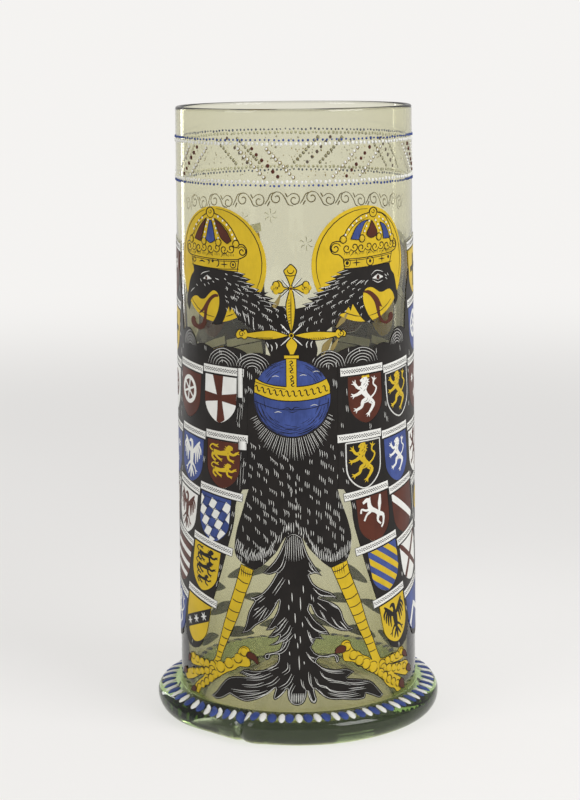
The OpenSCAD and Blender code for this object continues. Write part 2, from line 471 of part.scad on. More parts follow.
// Profile of the foot ring: shoulder, round under edge, flat rest and the seat on the wall
foot_steps = 12;
foot_line = concat([[waist_r + fit_gap, foot_h]],
    [for (k = [1:foot_steps]) let (r = waist_r + foot_w * sin(90 * k / foot_steps)) [r, shoulder_z(r)]],
    [for (k = [1:foot_steps]) let (a = 90 * k / foot_steps)
        [rest_out + (foot_r - rest_out) * cos(a), foot_bulge_z * (1 - sin(a))]],
    [[rest_in, 0], [waist_r + fit_gap, base_lift]]);

module blown_body() {
    color([0.80, 0.83, 0.72, 0.5])
        rotate_extrude($fn = 180)
            polygon(concat(
                [[0, kick_h]],
                smooth([[0, kick_h, 1], [waist_d * 0.13, kick_h - 2.4], [waist_d * 0.3, kick_h * 0.42],
                    [waist_r - 9, base_lift + 0.8], [waist_r - 4, base_lift, 1],
                    [waist_r - 1.2, base_lift + 0.5], [waist_r, base_lift + 2.4, 1],
                    [wall_r(foot_h), foot_h, 1], [wall_r(total_h - rim_r), total_h - rim_r, 1],
                    [wall_r(total_h) - 0.4, total_h - 0.3], [wall_r(total_h) - rim_r, total_h],
                    [wall_r(total_h) - wall_t + 0.4, total_h - 0.3],
                    [wall_r(total_h - rim_r) - wall_t, total_h - rim_r, 1],
                    [wall_r(foot_h + 8) - wall_t, foot_h + 8, 1],
                    [waist_r - wall_t - 1.4, base_lift + base_t + 3],
                    [waist_r - 9, base_lift + base_t + 0.8], [waist_d * 0.3, kick_h * 0.42 + base_t],
                    [waist_d * 0.13, kick_h - 2.4 + base_t], [0, kick_h + base_t, 1]])));
}

module foot_ring() {
    color([0.36, 0.42, 0.25, 0.7])
        rotate_extrude($fn = 180) polygon(foot_line);
}

module pontil_mark() {
    color([0.62, 0.68, 0.52])
        translate([0, 0, kick_h - 2.4 - pontil_t / 2])
            difference() {
                cylinder(h = pontil_t, d = pontil_d);
                translate([0, 0, -1]) cylinder(h = pontil_t + 2, d = pontil_d - 2 * pontil_t);
            }
}

module upper_blue_dots() {
    color([0.22, 0.26, 0.58]) dot_row(band_top, 0);
}

module upper_white_dots() {
    color([0.9, 0.9, 0.87]) dot_row(band_top + row_step, 0.5);
}

module lower_blue_dots() {
    color([0.22, 0.26, 0.58]) dot_row(band_low, 0);
}

module lower_white_dots() {
    color([0.9, 0.9, 0.87]) dot_row(band_low - row_step, 0.5);
}

// One slanting line of dots between the rows
module zig_line(s, slope, n, d) {
    top = total_h - band_top - row_step - 2.2;
    low = total_h - band_low + row_step + 2.2;
    for (k = [0:n - 1])
        let (t = n == 1 ? 0 : k / (n - 1))
            wall_dot(s + slope * (0.5 - t) * (top - low), low + (top - low) * t, d);
}

module zigzag(offsets, n, d) {
    pitch = 2 * PI * art_r / zig_n;
    for (k = [0:zig_n - 1])
        for (o = offsets)
            zig_line(zig_s + k * pitch + o * zig_step, k % 2 == 0 ? 1 : -1, n, d);
}

module zigzag_pale_dots() {
    color([0.9, 0.88, 0.78]) zigzag([-1, 1], pale_n, dot_d);
}

module zigzag_red_dots() {
    color([0.32, 0.13, 0.07]) zigzag([0], red_n, red_d);
}

module left_halo() {
    color([0.82, 0.69, 0.1]) halo(halo_left, left_head_line, left_crown_line, left_tongue_line);
}

module right_halo() {
    color([0.82, 0.69, 0.1]) halo(halo_right, right_head_line, right_crown_line, right_tongue_line);
}

module left_crown() {
    color([0.8, 0.66, 0.12]) on_wall(halo_left) outline(left_crown_line, halo_left);
}

module right_crown() {
    color([0.8, 0.66, 0.12]) on_wall(halo_right) outline(right_crown_line, halo_right);
}

// Panels of both crowns, a second coat over the gold
module crown_panels(lines) {
    for (p = lines)
        let (s0 = p[0][0] < 0 ? halo_left : halo_right) on_wall(s0, 1) outline(drawn(p), s0);
}

module crown_red_panels() {
    color([0.36, 0.13, 0.09]) crown_panels(red_panel_lines);
}

module crown_blue_panels() {
    color([0.25, 0.34, 0.66]) crown_panels(blue_panel_lines);
}

module left_head() {
    color([0.13, 0.12, 0.12])
        on_wall(halo_left) difference() {
            outline(left_head_line, halo_left);
            cross_drawing(halo_left);
        }
}

module right_head() {
    color([0.13, 0.12, 0.12])
        on_wall(halo_right) difference() {
            outline(right_head_line, halo_right);
            cross_drawing(halo_right);
        }
}

module tongues() {
    color([0.36, 0.14, 0.08]) {
        on_wall(halo_left) difference() {
            outline(left_tongue_line, halo_left);
            outline(left_head_line, halo_left);
        }
        on_wall(halo_right) difference() {
            outline(right_tongue_line, halo_right);
            outline(right_head_line, halo_right);
        }
    }
}

module cross() {
    color([0.8, 0.67, 0.12]) on_wall(eagle_s) cross_drawing(eagle_s);
}

module orb() {
    color([0.2, 0.27, 0.6])
        on_wall(eagle_s) difference() {
            orb_drawing(eagle_s);
            orb_band_drawing(eagle_s);
        }
}

module orb_band() {
    color([0.8, 0.67, 0.12])
        on_wall(eagle_s) difference() {
            orb_band_drawing(eagle_s);
            cross_drawing(eagle_s);
        }
}

module eagle_body() {
    color([0.13, 0.12, 0.12])
        on_wall(eagle_s) difference() {
            outline(body_line, eagle_s);
            cross_drawing(eagle_s);
            orb_drawing(eagle_s);
            orb_band_drawing(eagle_s);
        }
}

module tail() {
    color([0.15, 0.14, 0.14])
        on_wall(eagle_s) difference() {
            outline(tail_line, eagle_s);
            outline(body_line, eagle_s);
        }
}

// A leg with its foot; the wing and the thigh end where it begins
module leg(line, s0) {
    on_wall(s0) difference() {
        outline(line, s0);
        outline(body_line, s0);
        outline(tail_line, s0);
    }
}

module left_leg() {
    color([0.82, 0.69, 0.12]) leg(left_leg_line, eagle_s - leg_side);
}

module right_leg() {
    color([0.82, 0.69, 0.12]) leg(right_leg_line, eagle_s + leg_side);
}

module claws() {
    color([0.36, 0.15, 0.09])
        for (p = claw_lines)
            let (s0 = eagle_s + leg_side * sign(p[0][0])) on_wall(s0, 1) outline(drawn(p), s0);
}

// Places in some columns of a wing that the shields and labels fill
module shield_places(side, columns, s0) {
    for (k = columns)
        for (j = [col_rows[k][0]:col_rows[k][1]])
            for (p = [shield_line(coat_gap), label_line(side, k, j, coat_gap)])
                exact_outline(in_wing(side, k, j, p), s0);
}

// The wing is laid on in two halves, since each drawing is seen from one side
module wing(side, leg_line) {
    mid = col_first + 2.5 * col_step;
    far = mid + 4 * col_step;
    for (part = [[0, mid], [mid, far]]) {
        s0 = eagle_s + side * (part[0] + 0.45 * (part[1] - part[0]) + (part[0] == 0 ? 0.8 * col_step : 0));
        half = [[part[0], 0], [part[1], 0], [part[1], art_top], [part[0], art_top]];
        on_wall(s0) difference() {
            intersection() {
                outline(beside(wing_line, side), s0);
                exact_outline(beside(half, side), s0);
            }
            outline(leg_line, s0);
            shield_places(side, part[0] == 0 ? [0:3] : [2:5], s0);
        }
    }
}

module left_wing() {
    color([0.16, 0.15, 0.15]) wing(-1, left_leg_line);
}

module right_wing() {
    color([0.16, 0.15, 0.15]) wing(1, right_leg_line);
}

module red_shields() {
    color([0.36, 0.14, 0.09]) field_shields("r");
}

module blue_shields() {
    color([0.25, 0.32, 0.62]) field_shields("b");
}

module white_shields() {
    color([0.88, 0.88, 0.85]) field_shields("w");
}

module gold_shields() {
    color([0.8, 0.64, 0.13]) field_shields("g");
}

module black_shields() {
    color([0.13, 0.12, 0.12]) field_shields("k");
}

module label_strips() {
    color([0.85, 0.85, 0.82])
        for (side = [-1, 1])
            for (k = [0:5])
                for (j = [col_rows[k][0]:col_rows[k][1]])
                    let (s0 = eagle_s + side * shield_at(k, j)[0])
                        on_wall(s0) exact_outline(in_wing(side, k, j, label_line(side, k, j)), s0);
}

module green_leaves() {
    color([0.34, 0.45, 0.3])
        for (p = leaf_places)
            let (line = [for (q = leaf_line) p[3] * q], s0 = p[0] * art_unit)
                on_wall(s0) outline(shifted(turned(line, p[2]), s0, p[1] * art_unit), s0);
}

// A ring of dashes on the foot's shoulder
module dashes(shift) {
    inner = waist_r + dash_gap;
    span = dash_w / (2 * PI * (inner + dash_len / 2)) * 360;
    steps = [for (k = [0:6]) inner + dash_len * k / 6];
    for (k = [0:dash_n - 1])
        rotate([0, 0, (k + shift) * 360 / dash_n - 90 - span / 2])
            rotate_extrude(angle = span)
                polygon(concat([for (r = steps) [r, shoulder_z(r) + dash_air]],
                    [for (k = [6:-1:0]) [steps[k], shoulder_z(steps[k]) + dash_air + enamel_t]]));
}

module foot_white_dashes() {
    color([0.88, 0.88, 0.85]) dashes(0);
}

module foot_blue_dashes() {
    color([0.22, 0.27, 0.58]) dashes(0.5);
}

blown_body();
foot_ring();
pontil_mark();
upper_blue_dots();
upper_white_dots();
lower_blue_dots();
lower_white_dots();
zigzag_pale_dots();
zigzag_red_dots();
left_halo();
right_halo();
left_crown();
right_crown();
crown_red_panels();
crown_blue_panels();
left_head();
right_head();
tongues();
cross();
orb();
orb_band();
eagle_body();
tail();
left_leg();
right_leg();
claws();
left_wing();
right_wing();
red_shields();
blue_shields();
white_shields();
gold_shields();
black_shields();
label_strips();
green_leaves();
foot_white_dashes();
foot_blue_dashes();
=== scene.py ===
"""Enamelled glass humpen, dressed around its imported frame: glass, enamel coats, brushwork and stage."""

import math
import random

import bmesh
import bpy
from bpy.props import FloatProperty, FloatVectorProperty, IntProperty, PointerProperty
from mathutils import Matrix, Vector


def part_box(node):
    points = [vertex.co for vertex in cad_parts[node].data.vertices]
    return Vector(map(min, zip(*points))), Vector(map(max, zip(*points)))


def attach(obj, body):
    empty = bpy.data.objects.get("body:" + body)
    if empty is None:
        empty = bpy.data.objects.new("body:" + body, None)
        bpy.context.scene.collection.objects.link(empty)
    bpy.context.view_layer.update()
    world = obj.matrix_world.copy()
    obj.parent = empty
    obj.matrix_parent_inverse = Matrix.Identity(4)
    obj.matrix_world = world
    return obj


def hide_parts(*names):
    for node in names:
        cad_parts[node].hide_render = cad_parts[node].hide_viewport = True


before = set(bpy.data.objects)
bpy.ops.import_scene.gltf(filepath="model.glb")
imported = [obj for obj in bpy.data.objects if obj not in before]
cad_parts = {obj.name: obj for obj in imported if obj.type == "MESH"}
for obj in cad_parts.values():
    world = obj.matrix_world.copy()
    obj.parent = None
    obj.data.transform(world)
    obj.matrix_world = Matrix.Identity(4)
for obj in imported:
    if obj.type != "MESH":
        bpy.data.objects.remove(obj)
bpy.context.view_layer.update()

bl_info = {
    "name": "Enamelled Humpen",
    "version": (1, 0, 0),
    "blender": (4, 5, 0),
    "location": "View3D > Sidebar > Humpen",
    "description": "Dresses an enamelled glass beaker: glass, enamel, brushwork and stage",
    "category": "Add Mesh",
}

MM = 0.001
BODY_LOW, BODY_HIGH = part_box("blown_body")
FOOT_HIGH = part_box("foot_ring")[1]

# The painting is drawn unrolled: s along the wall from the front and z up, both in millimetres
ART_R = 55.0
COAT = 0.31
SECOND_COAT = 0.62
# Strokes on different shields are kept apart by this much height until they are bent round the wall
STOREY = 0.02
EAGLE_S = -1.8
ORB_Z = 158.6
WING_BEND_Z = 130
BREAST = ("eagle_body",)
WINGS = ("left_wing", "right_wing")
PLUMAGE = BREAST + WINGS
# Ends of a stroke that keeps its full width
EVEN = (1, 1)
# Rays that look for a coat start this far from the axis and reach this far in, in metres
RAY_START, RAY_REACH = 0.08, 0.03
# Slot of each enamel, brightness of its thin places, how streaky it is and how much it covers
ENAMELS = {
    "black": ("black_enamel", 1.9, 0.5, 1.0), "yellow": ("yellow_enamel", 0.78, 0.5, 1.0),
    "blue": ("blue_enamel", 1.8, 0.6, 1.0), "red": ("red_enamel", 1.7, 0.5, 1.0),
    "white": ("white_enamel", 0.86, 0.5, 1.0), "green": ("green_enamel", 1.4, 0.6, 0.75),
    "gilding": ("yellow_enamel", 1.6, 0.6, 1.0),
}


def number(name, description, default, **more):
    """A value that a user can change."""
    return FloatProperty(name=name, description=description, default=default, **more)


def length(name, description, default):
    """A size in metres that a user can change."""
    return number(name, description, default, unit="LENGTH", precision=5)


def tilt(name, description, degrees):
    """An angle that a user can change."""
    return number(name, description, math.radians(degrees), subtype="ANGLE")


def power(name, description, watts):
    """A lamp's power that a user can change."""
    return number(name, description, watts, unit="POWER")


def paint(name, description, default):
    """A colour that a user can change."""
    return FloatVectorProperty(name=name, description=description, default=default, subtype="COLOR",
                               size=3, min=0.0, max=1.0)


class HumpenGlass(bpy.types.PropertyGroup):
    """Sizes and colours of the glass"""
    rim_r: length("Rim radius", "Outside radius at the rim", 53.9 * MM)
    waist_r: length("Waist radius", "Outside radius at the top of the foot", BODY_HIGH[0])
    wall: length("Wall", "Thickness of the blown wall", 2.4 * MM)
    thicker: length("Thicker", "Extra thickness of the wall just above the foot", 4 * MM)
    base: length("Base", "Thickness of the base", 4.2 * MM)
    kick: length("Kick", "Height of the pushed-up base", 17 * MM)
    wobble: length("Wobble", "Unevenness of the inner wall", 0.55 * MM)
    bulge_z: length("Bulge", "Height of the foot's widest line", 8 * MM)
    rest_in: length("Rest", "Inner radius of the flat ring under the foot", 57 * MM)
    rest_out: length("Rest edge", "Outer radius of the flat ring under the foot", 59.6 * MM)
    steps: IntProperty(name="Steps", description="Segments round the vessel", default=192)
    tint: paint("Tint", "Colour left in light by the wall", (0.64, 0.62, 0.33))
    density: number("Density", "Strength of the wall's tint", 200.0)
    foot_tint: paint("Foot tint", "Colour left in light by the foot", (0.54, 0.71, 0.24))
    foot_density: number("Foot density", "Strength of the foot's tint", 85.0)


class HumpenEnamel(bpy.types.PropertyGroup):
    """Colours of the enamels"""
    black: paint("Black", "Feathers and lines", (0.010, 0.008, 0.007))
    yellow: paint("Yellow", "Haloes, crowns, cross and legs", (0.68, 0.47, 0.02))
    blue: paint("Blue", "Orb, shields and dots", (0.038, 0.062, 0.21))
    red: paint("Red", "Red-brown of shields, tongues and claws", (0.075, 0.018, 0.009))
    white: paint("White", "Flicks, strips and dots", (0.84, 0.84, 0.80))
    green: paint("Green", "Leaves at the back", (0.095, 0.175, 0.065))
    gilding: paint("Gilding", "Worn gold in the rim band", (0.25, 0.19, 0.065))


class HumpenStage(bpy.types.PropertyGroup):
    """Camera, backdrop and lamps"""
    distance: length("Distance", "From the vessel's axis to the camera", 0.940)
    height: length("Height", "Camera height above the table", 0.317)
    pitch: tilt("Pitch", "Downward tilt", 10.2)
    yaw: tilt("Yaw", "Turn to the side", 0.173)
    roll: tilt("Roll", "Lean", -0.574)
    lens: number("Lens", "Focal length in millimetres", 91.67)
    floor: paint("Floor", "Colour of the floor", (0.93, 0.92, 0.91))
    backdrop: paint("Backdrop", "Colour of the far background", (0.91, 0.897, 0.88))
    ambient: number("Ambient", "Strength of the light from all round", 0.42)
    key_power: power("Key", "Power of the right lamp", 13.0)
    fill_power: power("Fill", "Power of the left lamp", 6.4)
    edge_power: power("Edge", "Power of the lamp behind", 0.45)


# Shared modelling helpers

def clamp(value):
    """A value held between nought and one."""
    return min(1.0, max(0.0, value))


def around(centre, reach, angle):
    """The point at a distance and an angle, in radians, from another."""
    return centre[0] + reach * math.cos(angle), centre[1] + reach * math.sin(angle)


def wing_lean(z):
    """How far the lower part of a wing leans out at a height, in unrolled millimetres."""
    return 0 if z > WING_BEND_Z else 18 * (WING_BEND_Z - z) / 80


def wall_r(z):
    """Outside radius of the wall at a height."""
    glass = bpy.context.scene.humpen_glass
    share = (z - FOOT_HIGH[2]) / (BODY_HIGH[2] - FOOT_HIGH[2])
    return glass.waist_r + (glass.rim_r - glass.waist_r) * share


def smooth_line(points, steps=4):
    """Points on a smooth curve through the given (a, b) points; a third value marks a corner."""
    flat = [Vector(p[:2]) for p in points]
    corner = [len(p) > 2 or i in (0, len(points) - 1) for i, p in enumerate(points)]
    heading = []
    for i, p in enumerate(flat):
        if corner[i]:
            heading.append(None)
        else:
            before, after = flat[i - 1], flat[i + 1]
            heading.append((after - before) / ((p - before).length + (after - p).length))
    line = []
    for i in range(len(flat) - 1):
        a, b = flat[i], flat[i + 1]
        size = (b - a).length
        straight = (b - a) / size
        ta = (heading[i] or straight) * size
        tb = (heading[i + 1] or straight) * size
        count = 1 if corner[i] and corner[i + 1] else steps
        for k in range(count):
            t = k / count
            line.append((2 * t**3 - 3 * t**2 + 1) * a + (t**3 - 2 * t**2 + t) * ta
                        + (3 * t**2 - 2 * t**3) * b + (t**3 - t**2) * tb)
    line.append(flat[-1])
    return line


def lathe(name, profile, steps):
    """Extrudes a half profile from one vertex and spins it into a closed smooth body."""
    bpy.ops.object.select_all(action="DESELECT")
    bpy.ops.mesh.primitive_plane_add(size=MM)
    piece = bpy.context.object
    piece.name = piece.data.name = name
    bpy.ops.object.mode_set(mode="EDIT")
    bpy.ops.mesh.select_all(action="SELECT")
    bpy.ops.mesh.merge(type="CENTER")
    bpy.ops.transform.translate(value=(profile[0][0], 0, profile[0][1]))
    for a, b in zip(profile, profile[1:]):
        bpy.ops.mesh.extrude_region_move(TRANSFORM_OT_translate={"value": (b[0] - a[0], 0, b[1] - a[1])})
    bpy.ops.mesh.select_all(action="SELECT")
    bpy.ops.mesh.spin(steps=steps, angle=2 * math.pi, center=(0, 0, 0), axis=(0, 0, 1))
    bpy.ops.mesh.select_all(action="SELECT")
    bpy.ops.mesh.remove_doubles(threshold=MM / 100)
    bpy.ops.mesh.normals_make_consistent(inside=False)
    bpy.ops.object.mode_set(mode="OBJECT")
    bpy.ops.object.shade_smooth()
    return piece


def settle(piece, slot, *nodes):
    """Fixes a finished piece to the vessel and hides the nodes that it stands for; the slot is not used."""
    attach(piece, "root")
    if nodes:
        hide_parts(*nodes)


def finish_with(piece, material):
    """Gives a piece one material."""
    piece.data.materials.clear()
    piece.data.materials.append(material)


# Brushwork

def outward(s):
    """Direction out of the wall at an unrolled place."""
    angle = s / ART_R
    return Vector((math.sin(angle), -math.cos(angle), 0))


def on_paint(nodes, s, z):
    """True where one of the coats lies at an unrolled place."""
    out = outward(s)
    start = out * RAY_START + Vector((0, 0, z * MM))
    return any(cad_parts[node].ray_cast(start, -out, distance=RAY_REACH)[0] for node in nodes)


def scatter(nodes, span, rise, gap, tries, chance):
    """Loose places on the coats, no two of them nearer than the gap."""
    spots = []
    for k in range(tries):
        spot = Vector((chance.uniform(*span), chance.uniform(*rise)))
        if all((spot - other).length > gap for other in spots) and on_paint(nodes, spot.x, spot.y):
            spots.append(spot)
    return spots


def wall_point(s, z, height, storey=0):
    """Place in space of an unrolled place, a height in millimetres above the glass, for any storey."""
    return outward(s) * (wall_r(z * MM) + height * MM) + Vector((0, 0, z * MM))


def outlines(node, top=COAT):
    """Edges of a coat's outer face, as closed lists of unrolled (s, z) points."""
    spare = 0.06 * MM
    sharp = 0.7
    mesh = bmesh.new()
    mesh.from_mesh(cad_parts[node].data)
    bmesh.ops.remove_doubles(mesh, verts=mesh.verts, dist=MM / 200)
    outer = {v for v in mesh.verts
             if abs(math.hypot(v.co.x, v.co.y) - wall_r(v.co.z) - top * MM) < spare}
    links = {}
    for edge in mesh.edges:
        a, b = edge.verts
        if a in outer and b in outer and len(edge.link_faces) == 2 and edge.calc_face_angle() > sharp:
            links.setdefault(a, []).append(b)
            links.setdefault(b, []).append(a)
    loops = []
    while links:
        here = min(links, key=lambda v: v.index)
        loop = []
        while here is not None:
            loop.append(here)
            onward = [v for v in links.pop(here) if v in links]
            here = onward[0] if onward else None
        loops.append([(math.atan2(v.co.x, -v.co.y) * ART_R, v.co.z / MM) for v in loop])
    mesh.free()
    return [loop + loop[:1] for loop in loops if len(loop) > 3]


class Brush:
    """Strokes of one enamel, drawn unrolled and laid on the wall together as one piece"""
    spacing = 1.6
    taper = 0.3
    rounding = 0.25 * MM
    crisp_angle = math.radians(8)

    def __init__(self, name, colour, lift=COAT, bead=0.14, sides=0, crisp=False):
        self.name = name
        self.colour = colour
        self.lift = lift
        self.bead = bead
        self.sides = sides
        self.crisp = crisp
        self.strokes = []
        self.storey = 0

    def add(self, path, widths):
        """Keeps a stroke, with points close enough together to follow the round wall."""
        near = [(Vector(path[0]), widths[0])]
        for a, b, wide_a, wide_b in zip(path, path[1:], widths, widths[1:]):
            count = max(1, math.ceil(abs(b[0] - a[0]) / self.spacing))
            for k in range(1, count + 1):
                near.append((Vector(a).lerp(Vector(b), k / count), wide_a + (wide_b - wide_a) * k / count))
        self.strokes.append(([p for p, wide in near], [wide for p, wide in near], self.storey))

    def line(self, points, width=0.5, ends=(0.35, 0.25), steps=3, over=None):
        """A stroke through the points, thinner at its ends; over names the coats that it has to stay on."""
        path = smooth_line(points, steps)
        if len(path) == 2:
            path = [path[0].lerp(path[1], t) for t in (0, 0.3, 0.7, 1)]
        for run in self.painted_runs(path, over) if over else [path]:
            last = len(run) - 1
            shares = [(i / last, 1 - i / last) for i in range(len(run))]
            self.add(run, [width * min(1, ends[0] + (1 - ends[0]) * t / self.taper,
                                       ends[1] + (1 - ends[1]) * u / self.taper) for t, u in shares])

    def draw(self, rows):
        """Strokes from rows that each hold a width and the points."""
        for width, *points in rows:
            self.line(points, width)

    def trace(self, node, width, top=COAT):
        """Even lines round a coat."""
        for loop in outlines(node, top):
            self.line(loop, width, EVEN, steps=1)

    def painted_runs(self, path, nodes):
        """Stretches of a path that lie on the coats."""
        runs = [[]]
        for p in path:
            if on_paint(nodes, p[0], p[1]):
                runs[-1].append(p)
            elif runs[-1]:
                runs.append([])
        return [run for run in runs if len(run) > 1]

    def form(self, points, widths, steps=3):
        """A broad stroke with its own width at each point."""
        path = smooth_line(points, steps)
        if len(path) == len(points):
            self.add(path, list(widths))
            return
        spread = [widths[i // steps] + (widths[min(i // steps + 1, len(widths) - 1)] - widths[i // steps])
                  * (i % steps) / steps for i in range(len(path))]
        self.add(path, spread)

    def arc(self, centre, radius, start, stop, width=0.4, ends=(0.5, 0.5)):
        """A stroke along a circle, between two angles in degrees."""
        count = max(3, int(abs(stop - start) / 9))
        angles = [math.radians(start + (stop - start) * k / count) for k in range(count + 1)]
        self.line([around(centre, radius, a) for a in angles], width, ends, steps=1)

    def ring(self, centre, radius, width):
        """An even stroke round a whole circle."""
        self.arc(centre, radius, 0, 360, width, EVEN)

    def curl(self, centre, radius, start, turns=1.2, width=0.35):
        """A spiral stroke that winds in to its centre; negative turns wind the other way."""
        count = int(abs(turns) * 12)
        points = []
        for k in range(count + 1):
            t = k / count
            angle = math.radians(start) + turns * 2 * math.pi * t
            points.append(around(centre, radius * (1 - 0.75 * t), angle))
        self.line(points, width, (0.6, 0.9), steps=1)

    def dot(self, s, z, size, stretch=1.0):
        """A round bead of enamel."""
        places = (-0.5, -0.4, 0.0, 0.4, 0.5)
        self.add([Vector((s, z + size * stretch * t)) for t in places],
                 [max(0.12, math.sqrt(max(0.0, 1 - 4 * t * t))) * size for t in places])

    def hook(self, s, z, size, lean, width, over):
        """A short downward flick that curls at its tip."""
        self.line([(s, z), (s + 0.75 * lean, z - 0.5 * size), (s + 0.55 * lean, z - size)], width, over=over)

    def comb(self, s, z, count, step, flick, width=0.45, over=None):
        """A row of short flicks, each a step on from the one before."""
        for k in range(count):
            a = (s + step[0] * k, z + step[1] * k)
            self.line([a, (a[0] + flick[0], a[1] + flick[1])], width, over=over)

    def lay(self, *nodes, place=None):
        """Makes the strokes solid, as wide as each point's radius says, and bends them round the vessel."""
        bpy.ops.object.select_all(action="DESELECT")
        bpy.ops.curve.primitive_bezier_curve_add()
        piece = bpy.context.object
        curve = piece.data
        curve.splines.clear()
        curve.dimensions = "3D"
        curve.twist_mode = "Z_UP"
        curve.bevel_depth = 0.5 * MM
        curve.bevel_resolution = self.sides
        curve.use_fill_caps = True
        for path, widths, storey in self.strokes:
            spline = curve.splines.new("POLY")
            spline.points.add(len(path) - 1)
            for point, at, width in zip(spline.points, path, widths):
                point.co = (at[0] * MM, at[1] * MM, storey * STOREY, 1)
                point.radius = width
        bpy.ops.object.convert(target="MESH")
        piece = bpy.context.object
        piece.name = piece.data.name = self.name
        place = place or wall_point
        for v in piece.data.vertices:
            storey = round(v.co.z / STOREY)
            height = self.lift + self.bead * math.tanh((v.co.z - storey * STOREY) / self.rounding)
            v.co = place(v.co.x / MM, v.co.y / MM, height, storey)
        if self.crisp:
            bpy.ops.object.shade_smooth_by_angle(angle=self.crisp_angle)
        else:
            bpy.ops.object.shade_smooth()
        finish_with(piece, enamel(self.colour))
        settle(piece, ENAMELS[self.colour][0], *nodes)


# Materials

def add_node(tree, kind, inputs=None, **settings):
    """A new shader node; each input is given a value or joined to a socket."""
    node = tree.nodes.new("ShaderNode" + kind)
    for name, value in settings.items():
        setattr(node, name, value)
    for name, value in (inputs or {}).items():
        if isinstance(value, bpy.types.NodeSocket):
            tree.links.new(value, node.inputs[name])
        else:
            node.inputs[name].default_value = value
    return node


def new_material(name):
    """An empty node material, its tree and the socket of its Object coordinates."""
    material = bpy.data.materials.new(name)
    material.use_nodes = True
    tree = material.node_tree
    tree.nodes.clear()
    return material, tree, add_node(tree, "TexCoord").outputs["Object"]


def glass_material(name, tint, density, ripple):
    """Clear glass with a body tint, faint ripples and a light shadow."""
    material, tree, place = new_material(name)
    stretch = add_node(tree, "Mapping", {"Vector": place, "Scale": (1, 1, 2.5)})
    swirl = add_node(tree, "TexNoise", {"Vector": stretch.outputs["Vector"], "Scale": 55, "Detail": 3})
    bump = add_node(tree, "Bump", {"Strength": ripple, "Distance": 0.4 * MM, "Height": swirl.outputs["Fac"]})
    glass = add_node(tree, "BsdfPrincipled", {
        "Base Color": (1, 1, 1, 1), "Roughness": 0.015, "IOR": 1.5, "Transmission Weight": 1.0,
        "Normal": bump.outputs["Normal"]})
    clear = add_node(tree, "BsdfTransparent")
    shadow = add_node(tree, "LightPath").outputs["Is Shadow Ray"]
    mix = add_node(tree, "MixShader", {"Fac": shadow, 1: glass.outputs["BSDF"], 2: clear.outputs["BSDF"]})
    absorb = add_node(tree, "VolumeAbsorption", {"Color": (*tint, 1), "Density": density})
    add_node(tree, "OutputMaterial", {"Surface": mix.outputs["Shader"], "Volume": absorb.outputs["Volume"]})
    return material


def brushwork_group():
    """Node group for fired enamel: uneven brushed colour and a slightly rough coat."""
    name = "Brushed enamel"
    if name in bpy.data.node_groups:
        return bpy.data.node_groups[name]
    tree = bpy.data.node_groups.new(name, "ShaderNodeTree")
    for title, side, kind in (("Vector", "INPUT", "Vector"), ("Colour", "INPUT", "Color"),
                              ("Thin colour", "INPUT", "Color"), ("Streaks", "INPUT", "Float"),
                              ("Colour", "OUTPUT", "Color"), ("Roughness", "OUTPUT", "Float"),
                              ("Height", "OUTPUT", "Float")):
        tree.interface.new_socket(title, in_out=side, socket_type="NodeSocket" + kind)
    given = tree.nodes.new("NodeGroupInput").outputs
    broad = add_node(tree, "TexNoise", {"Vector": given["Vector"], "Scale": 120, "Detail": 2})
    drag = add_node(tree, "Mapping", {"Vector": given["Vector"], "Scale": (1, 1, 0.22)})
    fine = add_node(tree, "TexNoise", {"Vector": drag.outputs["Vector"], "Scale": 1400, "Detail": 2})
    most = add_node(tree, "Math", {0: broad.outputs["Fac"], 1: 0.7}, operation="MULTIPLY")
    both = add_node(tree, "Math", {0: fine.outputs["Fac"], 1: 0.3, 2: most.outputs["Value"]},
                    operation="MULTIPLY_ADD")
    spread = add_node(tree, "MapRange", {"Value": both.outputs["Value"], "From Min": 0.42, "From Max": 0.62})
    amount = add_node(tree, "Math", {0: spread.outputs["Result"], 1: given["Streaks"]}, operation="MULTIPLY")
    colour = add_node(tree, "Mix", {"Factor": amount.outputs["Value"], "A": given["Colour"],
                                    "B": given["Thin colour"]}, data_type="RGBA")
    rough = add_node(tree, "MapRange", {"Value": fine.outputs["Fac"], "To Min": 0.32, "To Max": 0.5})
    result = tree.nodes.new("NodeGroupOutput").inputs
    tree.links.new(colour.outputs["Result"], result["Colour"])
    tree.links.new(rough.outputs["Result"], result["Roughness"])
    tree.links.new(both.outputs["Value"], result["Height"])
    return tree


def enamel(name):
    """The enamel of a colour by its name, laid on with a brush and fired; made on first use."""
    title = name.capitalize() + " enamel"
    if title in bpy.data.materials:
        return bpy.data.materials[title]
    thin_share, streaks, cover = ENAMELS[name][1:]
    colour = tuple(getattr(bpy.context.scene.humpen_enamel, name))
    thin = tuple(min(1.0, c * thin_share) for c in colour)
    material, tree, place = new_material(title)
    brush = add_node(tree, "Group", {"Vector": place, "Colour": (*colour, 1), "Thin colour": (*thin, 1),
                                     "Streaks": streaks}, node_tree=brushwork_group())
    bump = add_node(tree, "Bump", {"Strength": 0.25, "Distance": 0.1 * MM, "Height": brush.outputs["Height"]})
    coat = add_node(tree, "BsdfPrincipled", {
        "Base Color": brush.outputs["Colour"], "Roughness": brush.outputs["Roughness"],
        "Normal": bump.outputs["Normal"], "IOR": 1.45, "Specular IOR Level": 0.25, "Alpha": cover})
    add_node(tree, "OutputMaterial", {"Surface": coat.outputs["BSDF"]})
    return material


# Stage and glass

